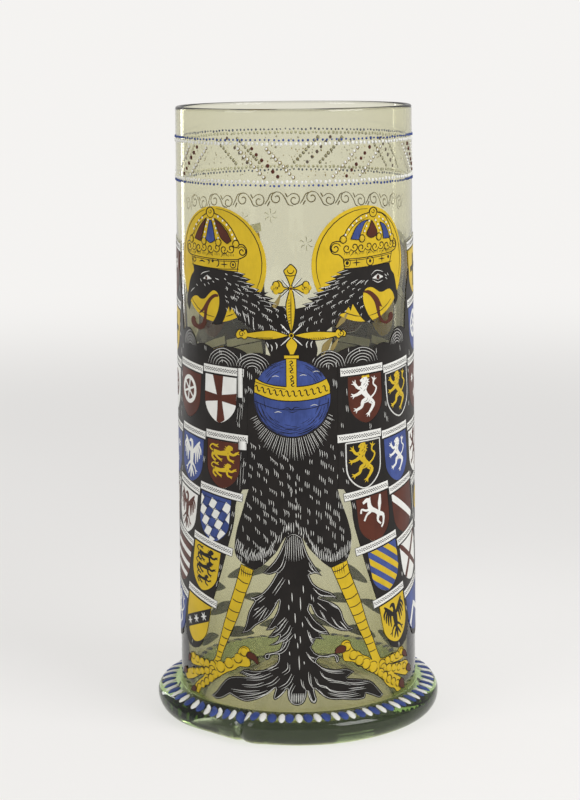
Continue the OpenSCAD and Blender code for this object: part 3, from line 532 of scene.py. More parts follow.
class HUMPEN_OT_stage(bpy.types.Operator):
    """Camera, pale floor, lamps and world"""
    bl_idname = "humpen.stage"
    bl_label = "Stage"
    floor_size = 60
    sensor = 36
    aim = (0, 0, 0.14)
    # Shares of the world and of the floor's glow that mirrored rays see
    world_mirrored = 0.15
    floor_mirrored = 0.8
    # The floor's glow: distances from the vessel in metres, and levels of its painted light, brighter in
    # front and to the right, with painted shade behind the vessel and to the left
    far_span = (0.45, 1.7)
    front_span = (0.45, 0.0)
    side_span = (-0.13, 0.13)
    painted_shade_left = 0.7
    painted_light_levels = (0.93, 1.08)
    near_share = 0.62

    def execute(self, context):
        stage = context.scene.humpen_stage
        context.scene.view_settings.view_transform = "Standard"
        bpy.ops.object.camera_add()
        camera = context.object
        camera.data.lens = stage.lens
        camera.data.sensor_width = self.sensor
        camera.matrix_world = (Matrix.Translation((0, -stage.distance, stage.height))
                               @ Matrix.Rotation(stage.yaw, 4, "Z")
                               @ Matrix.Rotation(math.pi / 2 - stage.pitch, 4, "X")
                               @ Matrix.Rotation(stage.roll, 4, "Z"))
        context.scene.camera = camera
        bpy.ops.mesh.primitive_plane_add(size=self.floor_size)
        floor = context.object
        floor.name = "floor"
        finish_with(floor, self.floor_material(stage))
        self.lamp("Key lamp", (1.0, -0.75, 0.95), 0.9, 0.9, stage.key_power)
        self.lamp("Fill lamp", (-1.1, -0.8, 0.8), 0.8, 1.0, stage.fill_power)
        edge = self.lamp("Edge lamp", (-0.55, 0.58, 0.2), 0.06, 0.6, stage.edge_power)
        edge.visible_camera = False
        self.studio(context.scene, stage)
        return {"FINISHED"}

    def studio(self, scene, stage):
        """A world as pale as the far floor where it is seen, and dimmer as light."""
        world = bpy.data.worlds.new("Studio")
        scene.world = world
        world.use_nodes = True
        tree = world.node_tree
        back = tree.nodes["Background"]
        back.inputs["Color"].default_value = (*stage.backdrop, 1)
        strength = self.ramp(tree, self.seen(tree, self.world_mirrored), (0, 1), (stage.ambient, 1), "LINEAR")
        tree.links.new(strength, back.inputs["Strength"])

    def seen(self, tree, mirrored):
        """One for rays that see the backdrop directly or through glass, less for mirrored ones."""
        light = add_node(tree, "LightPath").outputs
        clear = self.combine(tree, "MAXIMUM", light["Is Camera Ray"], light["Is Transmission Ray"])
        mirror = self.ramp(tree, light["Is Glossy Ray"], (0, 1), (0, mirrored))
        return self.combine(tree, "MAXIMUM", clear, mirror)

    def floor_material(self, stage):
        """Matt paper that keeps shadows; its glow holds painted light, with painted shade behind the vessel
        and to the left and brighter in front, and evens out far away.
        """
        material, tree, place = new_material("Pale paper")
        axes = add_node(tree, "SeparateXYZ", {"Vector": place}).outputs
        reach = add_node(tree, "VectorMath", {0: place}, operation="LENGTH").outputs["Value"]
        far = self.ramp(tree, reach, self.far_span, (0, 1))
        # Painted light: the near glow rises towards the front and the right; it is painted shade behind the
        # vessel and to the left
        front = self.ramp(tree, axes["Y"], self.front_span, (0, 1))
        right = self.ramp(tree, axes["X"], self.side_span, (self.painted_shade_left, 1))
        near = self.ramp(tree, self.combine(tree, "MULTIPLY", front, right), (0, 1), self.painted_light_levels)
        level = add_node(tree, "Mix", {"Factor": far, "A": near, "B": 1.0})
        glow = add_node(tree, "Emission", {"Color": (*stage.backdrop, 1),
                                           "Strength": level.outputs["Result"]})
        share = self.combine(tree, "MULTIPLY", self.seen(tree, self.floor_mirrored),
                             self.ramp(tree, far, (0, 1), (self.near_share, 1)))
        paper = add_node(tree, "BsdfDiffuse", {"Color": (*stage.floor, 1)})
        mix = add_node(tree, "MixShader", {"Fac": share, 1: paper.outputs["BSDF"],
                                           2: glow.outputs["Emission"]})
        add_node(tree, "OutputMaterial", {"Surface": mix.outputs["Shader"]})
        return material

    def ramp(self, tree, value, span, levels, kind="SMOOTHSTEP"):
        """A change from one level to another over a span of a value."""
        return add_node(tree, "MapRange", {"Value": value, "From Min": span[0], "From Max": span[1],
                                           "To Min": levels[0], "To Max": levels[1]},
                        interpolation_type=kind).outputs["Result"]

    def combine(self, tree, operation, first, second):
        """One value worked out from two others."""
        return add_node(tree, "Math", {0: first, 1: second}, operation=operation).outputs["Value"]

    def lamp(self, name, place, wide, tall, power):
        """One soft box aimed at the vessel."""
        bpy.ops.object.light_add(type="AREA", location=place)
        lamp = bpy.context.object
        lamp.name = name
        lamp.data.shape = "RECTANGLE"
        lamp.data.size = wide
        lamp.data.size_y = tall
        lamp.data.energy = power
        lamp.rotation_euler = (Vector(self.aim) - Vector(place)).to_track_quat("-Z", "Y").to_euler()
        return lamp


class HUMPEN_OT_blown_body(bpy.types.Operator):
    """Tapering wall with a fire-polished rim and a pushed-up base"""
    bl_idname = "humpen.blown_body"
    bl_label = "Blown body"

    def execute(self, context):
        glass = context.scene.humpen_glass
        low, top, wall = BODY_LOW[2], BODY_HIGH[2], glass.wall
        waist, kick, base = glass.waist_r, glass.kick, glass.base
        rim = wall / 2
        push_up = [(waist * 0.26, kick - 2.4 * MM), (waist * 0.6, kick * 0.42),
                   (waist - 9 * MM, low + 0.8 * MM)]
        under = smooth_line([(0, kick, 1)] + push_up + [(waist - 4 * MM, low)])
        edge = smooth_line([(waist - 4 * MM, low), (waist - 1.2 * MM, low + 0.5 * MM),
                            (waist, low + 2.4 * MM)])
        # The wall takes in the thin gap under the enamel
        fused = 0.06 * MM
        support = [top - rim - 0.8 * MM, top - rim - 0.2 * MM]
        outside = [(wall_r(z) + fused, z)
                   for z in self.heights(low + 6 * MM, top - rim - 1.2 * MM, 24) + support]
        half = (wall + fused) / 2
        lip = [(wall_r(top) + fused - half + half * math.cos(a), top - half + half * math.sin(a))
               for a in [math.radians(180 * k / 12) for k in range(1, 12)]]
        thick_high = 100 * MM
        inside = [(wall_r(z) - wall - glass.thicker * max(0.0, 1 - (z - FOOT_HIGH[2]) / thick_high) ** 1.5, z)
                  for z in support[::-1] + self.heights(top - rim - 1.2 * MM, FOOT_HIGH[2] + 8 * MM, 30)]
        bowl = smooth_line([inside[-1], (waist - wall - 5 * MM, low + base + 3 * MM)]
                           + [(r, z + base) for r, z in push_up[::-1]] + [(0, kick + base)])
        profile = under + edge[1:] + outside + lip + inside + bowl[1:]
        body = lathe("blown_wall", profile, glass.steps)
        self.uneven(body, glass.wobble)
        finish_with(body, glass_material("Pale forest glass", glass.tint, glass.density, 0.04))
        settle(body, "pale_glass", "blown_body")
        return {"FINISHED"}

    def heights(self, low, high, count):
        """Even heights from one to the other."""
        return [low + (high - low) * k / count for k in range(count + 1)]

    def uneven(self, body, depth):
        """Makes the inner wall uneven, as blowing leaves it; the painted outside stays true."""
        inner = body.vertex_groups.new(name="inner")
        margin = 0.6 * MM
        for v in body.data.vertices:
            if v.co.z > FOOT_HIGH[2] and math.hypot(v.co.x, v.co.y) < wall_r(v.co.z) - margin:
                fade = clamp((BODY_HIGH[2] - 10 * MM - v.co.z) / (40 * MM))
                inner.add([v.index], fade, "REPLACE")
        clouds = bpy.data.textures.new("Blown wall", "CLOUDS")
        clouds.noise_scale = 0.055
        clouds.noise_depth = 1
        modifier = body.modifiers.new("Uneven wall", "DISPLACE")
        modifier.texture = clouds
        modifier.texture_coords = "LOCAL"
        modifier.strength = depth
        modifier.mid_level = 0.5
        modifier.vertex_group = "inner"
        bpy.context.view_layer.objects.active = body
        bpy.ops.object.modifier_apply(modifier=modifier.name)


def shoulder_z(r):
    """Height of the foot's rounded shoulder at a radius."""
    glass = bpy.context.scene.humpen_glass
    square = 2.4
    t = clamp((r - glass.waist_r) / (FOOT_HIGH[0] - glass.waist_r))
    return glass.bulge_z + (FOOT_HIGH[2] - glass.bulge_z) * (1 - t**square) ** (1 / square)


# A dent, a crease and a lap left by the tool in the foot: angle and spread in degrees, drop and push out
TOOL_MARKS = ((-41, 13, 2.8 * MM, -3.2 * MM), (-25, 1.8, 2.6 * MM, -2.4 * MM), (-19, 4, -0.8 * MM, 0.9 * MM))


def fold(co):
    """Where a point of the foot goes: the tool's marks at the front left, and a slow wave all round."""
    angle = math.degrees(math.atan2(co.x, -co.y))
    out = math.hypot(co.x, co.y)
    glass = bpy.context.scene.humpen_glass
    reach = clamp((out - glass.waist_r - 1.5 * MM) / (4 * MM))
    raised = clamp(co.z / glass.bulge_z)
    turn = math.radians(angle)
    wave = 0.25 * MM * math.sin(3 * turn + 0.8) + 0.15 * MM * math.sin(7 * turn)
    drop, push = -wave * reach, wave
    for at, spread, mark_drop, mark_push in TOOL_MARKS:
        depth = math.exp(-((angle - at) / spread) ** 2) * reach
        drop += mark_drop * depth
        push += mark_push * depth
    wider = 1 + push * reach / out
    return Vector((co.x * wider, co.y * wider, co.z - drop * raised))


class HUMPEN_OT_foot_ring(bpy.types.Operator):
    """Thick trailed ring with a square shoulder, a folded dent and a flat rest"""
    bl_idname = "humpen.foot_ring"
    bl_label = "Foot ring"

    def execute(self, context):
        glass = context.scene.humpen_glass
        seat = glass.waist_r + 0.01 * MM
        reach = FOOT_HIGH[0] - glass.waist_r
        radii = [glass.waist_r + reach * math.sin(math.radians(90 * k / 16)) for k in range(1, 17)]
        curve = FOOT_HIGH[0] - glass.rest_out
        under = [(glass.rest_out + curve * math.cos(a), glass.bulge_z * (1 - math.sin(a)))
                 for a in [math.radians(90 * k / 14) for k in range(1, 15)]]
        profile = [(seat, FOOT_HIGH[2])] + [(r, shoulder_z(r)) for r in radii] + under
        profile += [(glass.rest_in, 0), (seat, BODY_LOW[2]), (seat, FOOT_HIGH[2])]
        ring = lathe("trailed_ring", profile, 2 * glass.steps)
        for v in ring.data.vertices:
            v.co = fold(v.co)
        finish_with(ring, glass_material("Thick green glass", glass.foot_tint, glass.foot_density, 0.08))
        settle(ring, "foot_glass", "foot_ring")
        scar = glass_material("Rough scar", glass.foot_tint, glass.density, 0.5)
        finish_with(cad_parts["pontil_mark"], scar)
        return {"FINISHED"}


class HUMPEN_OT_foot_dashes(bpy.types.Operator):
    """Alternate white and blue oval dashes on the foot's shoulder"""
    bl_idname = "humpen.foot_dashes"
    bl_label = "Foot dashes"
    count = 48
    inner = 58.7
    reach = 6.3

    def execute(self, context):
        chance = random.Random(11)
        for name, colour, shift, width in (("white_foot_dashes", "white", 0, 3.3),
                                           ("blue_foot_dashes", "blue", 0.5, 4.3)):
            brush = Brush(name, colour, lift=0.0, bead=0.3, sides=1)
            for k in range(self.count):
                across = (k + shift) / self.count * 360 + chance.uniform(-0.35, 0.35)
                slant = chance.uniform(0.1, 1.2)
                places = (-0.5, -0.42, -0.2, 0.2, 0.42, 0.5)
                brush.add([Vector((across + slant * t, 0.5 + t)) for t in places],
                          [width * w * chance.uniform(0.92, 1.06) for w in (0.15, 0.62, 1, 1, 0.62, 0.15)])
            self.lay(brush, colour)
        return {"FINISHED"}

    def lay(self, brush, colour):
        """Draws each dash beside its own middle line and bends it over the shoulder."""
        mid = self.inner + self.reach / 2
        per_degree = mid * math.pi / 180
        brush.strokes = [([Vector((p[0] * per_degree, p[1] * self.reach)) for p in path], widths, storey)
                         for path, widths, storey in brush.strokes]
        brush.lay("foot_" + colour + "_dashes", place=self.on_shoulder)

    def on_shoulder(self, s, along, height, storey):
        """Place on the shoulder, s round the foot and along outwards, in millimetres."""
        mid = self.inner + self.reach / 2
        angle = s / mid
        r = (self.inner + along) * MM
        step = 0.05 * MM
        slope = (shoulder_z(r + step) - shoulder_z(r - step)) / (2 * step)
        normal = Vector((-slope, 1)).normalized()
        r_up = r + normal.x * height * MM
        z_up = shoulder_z(r) + normal.y * height * MM
        return fold(Vector((math.sin(angle) * r_up, -math.cos(angle) * r_up, z_up)))


COATS = {
    "left_halo": "yellow", "right_halo": "yellow", "left_crown": "yellow", "right_crown": "yellow",
    "crown_red_panels": "red", "crown_blue_panels": "blue", "left_head": "black", "right_head": "black",
    "tongues": "red", "cross": "yellow", "orb": "blue", "orb_band": "yellow", "eagle_body": "black",
    "tail": "black", "left_leg": "yellow", "right_leg": "yellow", "claws": "red", "left_wing": "black",
    "right_wing": "black", "red_shields": "red", "blue_shields": "blue", "white_shields": "white",
    "gold_shields": "yellow", "black_shields": "black", "label_strips": "white", "green_leaves": "green",
}


class HUMPEN_OT_enamel_coats(bpy.types.Operator):
    """Fired enamel on the coats that keep their CAD shape"""
    bl_idname = "humpen.enamel_coats"
    bl_label = "Enamel coats"

    def execute(self, context):
        context.view_layer.update()
        for node, colour in COATS.items():
            finish_with(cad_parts[node], enamel(colour))
        return {"FINISHED"}


# Painting

class HUMPEN_OT_rim_dots(bpy.types.Operator):
    """Rows and slanting lines of raised dots below the rim, with worn gilding between them"""
    bl_idname = "humpen.rim_dots"
    bl_label = "Rim dots"
    rows = (("upper_blue_beads", "blue", 13.4, 0.0, "upper_blue_dots"),
            ("upper_white_beads", "white", 15.0, 0.5, "upper_white_dots"),
            ("lower_white_beads", "white", 31.4, 0.5, "lower_white_dots"),
            ("lower_blue_beads", "blue", 33.0, 0.0, "lower_blue_dots"))
    count = 160
    groups = 8
    group_s = -13
    line_step = 6.6
    slant_drops = (17.2, 29.2)
    worn_drops = (16.5, 30)
    worn_spots = 420

    def execute(self, context):
        chance = random.Random(3)
        top = BODY_HIGH[2] / MM
        round_s = 2 * math.pi * ART_R
        for name, colour, drop, shift, node in self.rows:
            brush = Brush(name, colour, lift=0.06, bead=0.42, sides=2)
            for k in range(self.count):
                s = (k + shift) * round_s / self.count + chance.uniform(-0.28, 0.28)
                size = chance.uniform(0.85, 1.2) if colour == "blue" else chance.uniform(1.3, 1.65)
                brush.dot(s, top - drop + chance.uniform(-0.2, 0.2), size)
            brush.lay(node)
        gilding = Brush("worn_gilding", "gilding", lift=0.0, bead=0.07)
        pale = Brush("pale_slant_beads", "white", lift=0.0, bead=0.4, sides=2)
        red = Brush("red_slant_beads", "red", lift=0.0, bead=0.42, sides=2)
        for k in range(self.groups):
            middle = self.group_s + k * round_s / self.groups
            slope = 1 if k % 2 == 0 else -1
            for side in (-1, 1):
                for s, z in self.slant(middle + side * self.line_step, slope, 9, chance):
                    pale.dot(s, z, chance.uniform(1.05, 1.35))
                    gilding.dot(s + 0.2, z - 0.15, chance.uniform(1.6, 1.95))
            for s, z in self.slant(middle, slope, 6, chance):
                red.dot(s, z, chance.uniform(1.5, 1.85))
        for k in range(self.worn_spots):
            s = chance.uniform(0, round_s)
            z = top - chance.uniform(*self.worn_drops)
            gilding.dot(s, z, chance.uniform(0.2, 0.75), chance.uniform(0.6, 1.8))
        pale.lay("zigzag_pale_dots")
        red.lay("zigzag_red_dots")
        gilding.lay()
        return {"FINISHED"}

    def slant(self, s, slope, count, chance):
        """Places of the dots of one slanting line."""
        high, low = [BODY_HIGH[2] / MM - drop for drop in self.slant_drops]
        places = []
        for k in range(count):
            t = k / (count - 1)
            places.append((s + slope * (0.5 - t) * (high - low) + chance.uniform(-0.2, 0.2),
                           low + (high - low) * t + chance.uniform(-0.15, 0.15)))
        return places


class HUMPEN_OT_haloes_and_crowns(bpy.types.Operator):
    """Dark rings in the haloes, and the drawing and pearls of both crowns"""
    bl_idname = "humpen.haloes_and_crowns"
    bl_label = "Haloes and crowns"
    left_pearls = [(-52.8, 231.7), (-51, 233.8), (-48.8, 235.6), (-46.5, 237), (-45.2, 228.5), (-44.8, 230.8),
                   (-44, 233.2), (-43.3, 235), (-42.6, 236.3), (-36.5, 228.5), (-37, 230.8), (-37.8, 232.8),
                   (-38.5, 234.8), (-39.3, 236.6), (-27.6, 228.6), (-28.9, 230.3), (-30, 232.3),
                   (-31.8, 234.6), (-33.9, 236.3), (-36.5, 238)]
    right_pearls = [(23.2, 230), (24.8, 232.2), (26.7, 234), (28.7, 235.8), (31, 236.9), (34, 237.8),
                    (33, 231.2), (34, 233.3), (35.5, 235.5), (39.4, 235.6), (40.7, 233.8), (41.5, 232),
                    (42.5, 230), (41.5, 237), (43.9, 235.7), (46, 234.2), (47.7, 232.5), (48.5, 230.5),
                    (49.3, 228.5)]

    def execute(self, context):
        lines = Brush("crown_drawing", "black", COAT, 0.08)
        self.rings(lines)
        for node in ("left_crown", "right_crown"):
            lines.trace(node, 0.5)
        self.left_crown(lines)
        self.right_crown(lines)
        lines.lay()
        edges = Brush("panel_edges", "black", SECOND_COAT, 0.06)
        for node in ("crown_red_panels", "crown_blue_panels"):
            edges.trace(node, 0.3, SECOND_COAT)
        edges.lay()
        pearls = Brush("crown_pearls", "white", COAT, 0.3, sides=1)
        for s, z in self.left_pearls + self.right_pearls:
            pearls.dot(s, z, 1.0)
        pearls.lay()
        balls = Brush("crown_balls", "yellow", COAT + 0.1, 0.2, sides=1)
        rings = Brush("ball_edges", "black", COAT + 0.1, 0.1)
        for s, z in ((-55, 227), (-45.5, 226.8), (-36.5, 226.6), (-27, 226.3), (22, 228), (31.5, 228),
                     (41.3, 228.2), (50.2, 227.2)):
            balls.dot(s, z, 3.3, 0.85)
            rings.ring((s, z), 1.6, 0.42)
        balls.lay()
        rings.lay()
        return {"FINISHED"}

    def rings(self, lines):
        """The thin ring inside each halo's edge, broken where the bird covers it."""
        left, right = (-38.5, 217.6), (33.2, 217.2)
        for centre, radius, spans in ((left, 23.9, ((-27, 88), (105, 190))),
                                      (left, 24.4, ((222, 268), (284, 295))),
                                      (right, 23.8, ((-20, 70), (86, 203), (240, 265), (275, 313)))):
            for start, stop in spans:
                lines.arc(centre, radius, start, stop, 0.42)

    def band(self, lines, points):
        """Lines along a crown's band."""
        for drop, width in ((0, 0.4), (-0.7, 0.3), (-4.2, 0.35)):
            lines.line([(s, z + drop) for s, z in points], width, EVEN)

    def left_crown(self, lines):
        """Band, jewels, scrolls, arches and knob of the left crown."""
        self.band(lines, [(-55, 219.9), (-46, 219.4), (-35, 219.1), (-25.8, 219.5)])
        lines.line([(-54.2, 218), (-52.9, 219), (-51.6, 218), (-52.9, 217), (-54.2, 218)], 0.45, EVEN)
        lines.draw([(0.7, (-49, 217.4), (-47, 217.9), (-45, 217.3)),
                    (0.7, (-43.4, 218.5), (-42.2, 218), (-42.6, 216.6))])
        lines.dot(-40, 218.2, 1.4)
        lines.arc((-38, 217.5), 1.7, -80, 80, 0.6)
        lines.draw([(0.5, (-35.2, 217), (-31.4, 217)), (0.5, (-33.3, 218.9), (-33.3, 215.4))])
        lines.ring((-28.6, 217.1), 1.4, 0.4)
        lines.dot(-28.6, 217.1, 1.2)
        self.ruffle(lines, (-57, -53, -49.4, -45.6, -41.4, -37.4, -33.4, -29.6), 223.6, (-51, -42, -33))
        lines.curl((-24, 223), 2.4, 150, -1.4, 0.55)
        lines.draw([(0.35, (-53.2, 228.6), (-49.6, 233.6), (-44.4, 237)),
                    (0.3, (-46.6, 227.4), (-45.3, 232.6), (-43.2, 236.8)),
                    (0.3, (-36, 227.4), (-37.2, 232.2), (-39.4, 237)),
                    (0.35, (-28.8, 228), (-32, 233), (-38, 237.2))])
        lines.ring((-41.3, 239.6), 2.3, 0.4)
        lines.curl((-41.2, 240.2), 1.2, 180, 0.9, 0.35)

    def ruffle(self, lines, scrolls, z, points):
        """Scrolls and points round a crown's collar, with short shading lines under them."""
        for k, s in enumerate(scrolls):
            turn = 1 if k % 2 else -1
            lines.curl((s, z + 0.5 * (k % 2)), 2.15, 90 + 110 * turn, 1.15 * turn, 0.52)
            for n in range(4):
                lines.line([(s - 1.2 + 0.8 * n, z - 1.7), (s - 1.05 + 0.8 * n, z - 2.9)], 0.22)
        for s in points:
            lines.line([(s - 2.1, z - 3.4), (s, z - 1.2, 1), (s + 2.1, z - 3.2)], 0.45)

    def right_crown(self, lines):
        """Band, jewels, scrolls, arches and knob of the right crown."""
        self.band(lines, [(22, 219.4), (30, 219.4), (40, 220), (50, 220.8)])
        lines.dot(23.9, 217.6, 1.7)
        lines.ring((23.9, 217.6), 1.6, 0.3)
        for s, z in ((28.6, 217.5), (43.2, 218.3)):
            lines.draw([(0.5, (s - 2, z), (s + 2, z)), (0.5, (s, z + 1.6), (s, z - 1.6))])
        lines.ring((36, 217.8), 2.0, 0.45)
        lines.dot(36, 217.8, 1.5)
        lines.dot(47.6, 218.8, 1.5)
        self.ruffle(lines, (23.8, 27.6, 31.2, 35.2, 39, 42.8, 46.6, 49.8), 224, (27.5, 36.4, 44.8))
        lines.curl((18.3, 224.2), 2.6, 20, 1.4, 0.55)
        lines.curl((52, 223.8), 1.9, 160, -1.4, 0.5)
        lines.draw([(0.35, (23.6, 229.2), (28, 234.4), (35.4, 237.4)),
                    (0.3, (31.8, 229), (33.4, 233.2), (36.4, 236.8)),
                    (0.3, (42.8, 229), (41, 233.4), (38.2, 236.8)),
                    (0.35, (49, 228.6), (46.4, 233.4), (40.6, 237.4))])
        lines.ring((38, 239.2), 2.1, 0.4)
        lines.curl((38.1, 239.8), 1.1, 180, 0.9, 0.35)


class HUMPEN_OT_heads(bpy.types.Operator):
    """Eyes, beak lines and neck feathers of both heads"""
    bl_idname = "humpen.heads"
    bl_label = "Heads"
    left_tips = [(-7.5, 200.5), (-9.3, 202.7), (-11.8, 205.4), (-15.8, 206.8), (-17.8, 208.8), (-19.8, 211),
                 (-22.3, 213.3)]
    right_tips = [(3, 200.2), (5.3, 202.7), (8, 205), (10.2, 207.1), (13, 209.4), (15.8, 212.1),
                  (18.7, 213.7)]
    marks = [
        [(-48, 211.5), (-46.5, 212.5), (-42, 213.6)], [(-56.5, 203), (-55, 204.2), (-53, 205.2)],
        [(-48.6, 209.6), (-47.4, 208.4)], [(-51.6, 207), (-50.4, 206.2)], [(-45.8, 207.6), (-44.8, 206.6)],
        [(-43.2, 208.4), (-42.2, 207.6)], [(-40.2, 209.3), (-39.2, 208.6)], [(-38.7, 210.6), (-36.3, 210)],
        [(-32.8, 213), (-31.6, 212.4)], [(-33.4, 210.9), (-32.4, 210.2)], [(-32.4, 207.2), (-31.4, 206.2)],
        [(-26.3, 207), (-24.6, 205.5)], [(-33, 203.2), (-32, 202.3)],
        [(-30, 203.2), (-28.9, 201.8), (-27.8, 204)],
        [(-27.5, 199), (-26.2, 195)], [(-24, 197), (-22.5, 192)], [(-21.5, 196), (-20.8, 191)],
        [(-19, 193.5), (-18.8, 189)],
        [(36.5, 211.5), (39, 213.2), (42, 213), (44, 212.2)], [(37.2, 209.4), (40.6, 207.9), (43.8, 208.7)],
        [(28, 207.5), (30.2, 208.9), (31.7, 209.7)], [(32.8, 207.3), (33.6, 208.6), (35, 209.5)],
        [(45, 211.2), (46.4, 210.2)], [(45.4, 209.8), (46.8, 208.8)], [(46.8, 211.6), (47.6, 210.4)],
    ]

    def execute(self, context):
        chance = random.Random(5)
        white = Brush("neck_feathers", "white", COAT, 0.1)
        heads = ("left_head", "right_head")
        for points in self.marks:
            white.line(points, 0.36, over=heads)
        for s, z in self.left_tips:
            white.line([(s - 5.4, z + 0.5), (s - 3, z + 0.3), (s - 0.6, z - 0.3)], 0.26, over=heads)
            white.line([(s - 6.6, z - 1.0), (s - 4.8, z - 1.1), (s - 3, z - 1.4)], 0.18, over=heads)
        for s, z in self.right_tips:
            white.line([(s + 5.6, z + 0.8), (s + 3, z + 0.3), (s + 0.6, z - 0.2)], 0.26, over=heads)
            white.line([(s + 7, z - 0.4), (s + 5, z - 0.8), (s + 3, z - 1.2)], 0.18, over=heads)
        self.neck(white, "left_head", (-33, -3), 1, chance)
        self.neck(white, "right_head", (1, 34), -1, chance)
        white.form([(-46.2, 209.9), (-43.6, 210.6), (-41, 210.2)], [0.4, 2.2, 0.4])
        white.form([(37.4, 210), (40.6, 210.4), (43.8, 210.2)], [0.4, 2.9, 0.4])
        white.lay()
        iris = Brush("eye_irises", "red", COAT + 0.1, 0.1)
        iris.dot(-44.2, 210.4, 1.6)
        iris.dot(40.6, 210.3, 2.1)
        iris.lay()
        pupils = Brush("eye_pupils", "black", COAT + 0.2, 0.08)
        pupils.dot(-44.3, 210.5, 0.8)
        pupils.dot(40.6, 210.4, 1.1)
        pupils.lay()
        return {"FINISHED"}

    def neck(self, white, node, span, turn, chance):
        """Loose small hooks down a neck, steeper towards the breast."""
        for spot in scatter((node,), span, (183, 210), 2.6, 900, chance):
            size = chance.uniform(1.6, 2.9)
            steep = clamp((205 - spot.y) / 20)
            lean = turn * size * (0.8 - 0.65 * steep) * chance.uniform(0.6, 1.2)
            for n in range(chance.choice((1, 1, 2, 2, 3))):
                white.hook(spot.x + 0.9 * n, spot.y - 0.35 * n * turn, size * (0.5 + 0.4 * steep), lean, 0.25,
                           (node,))


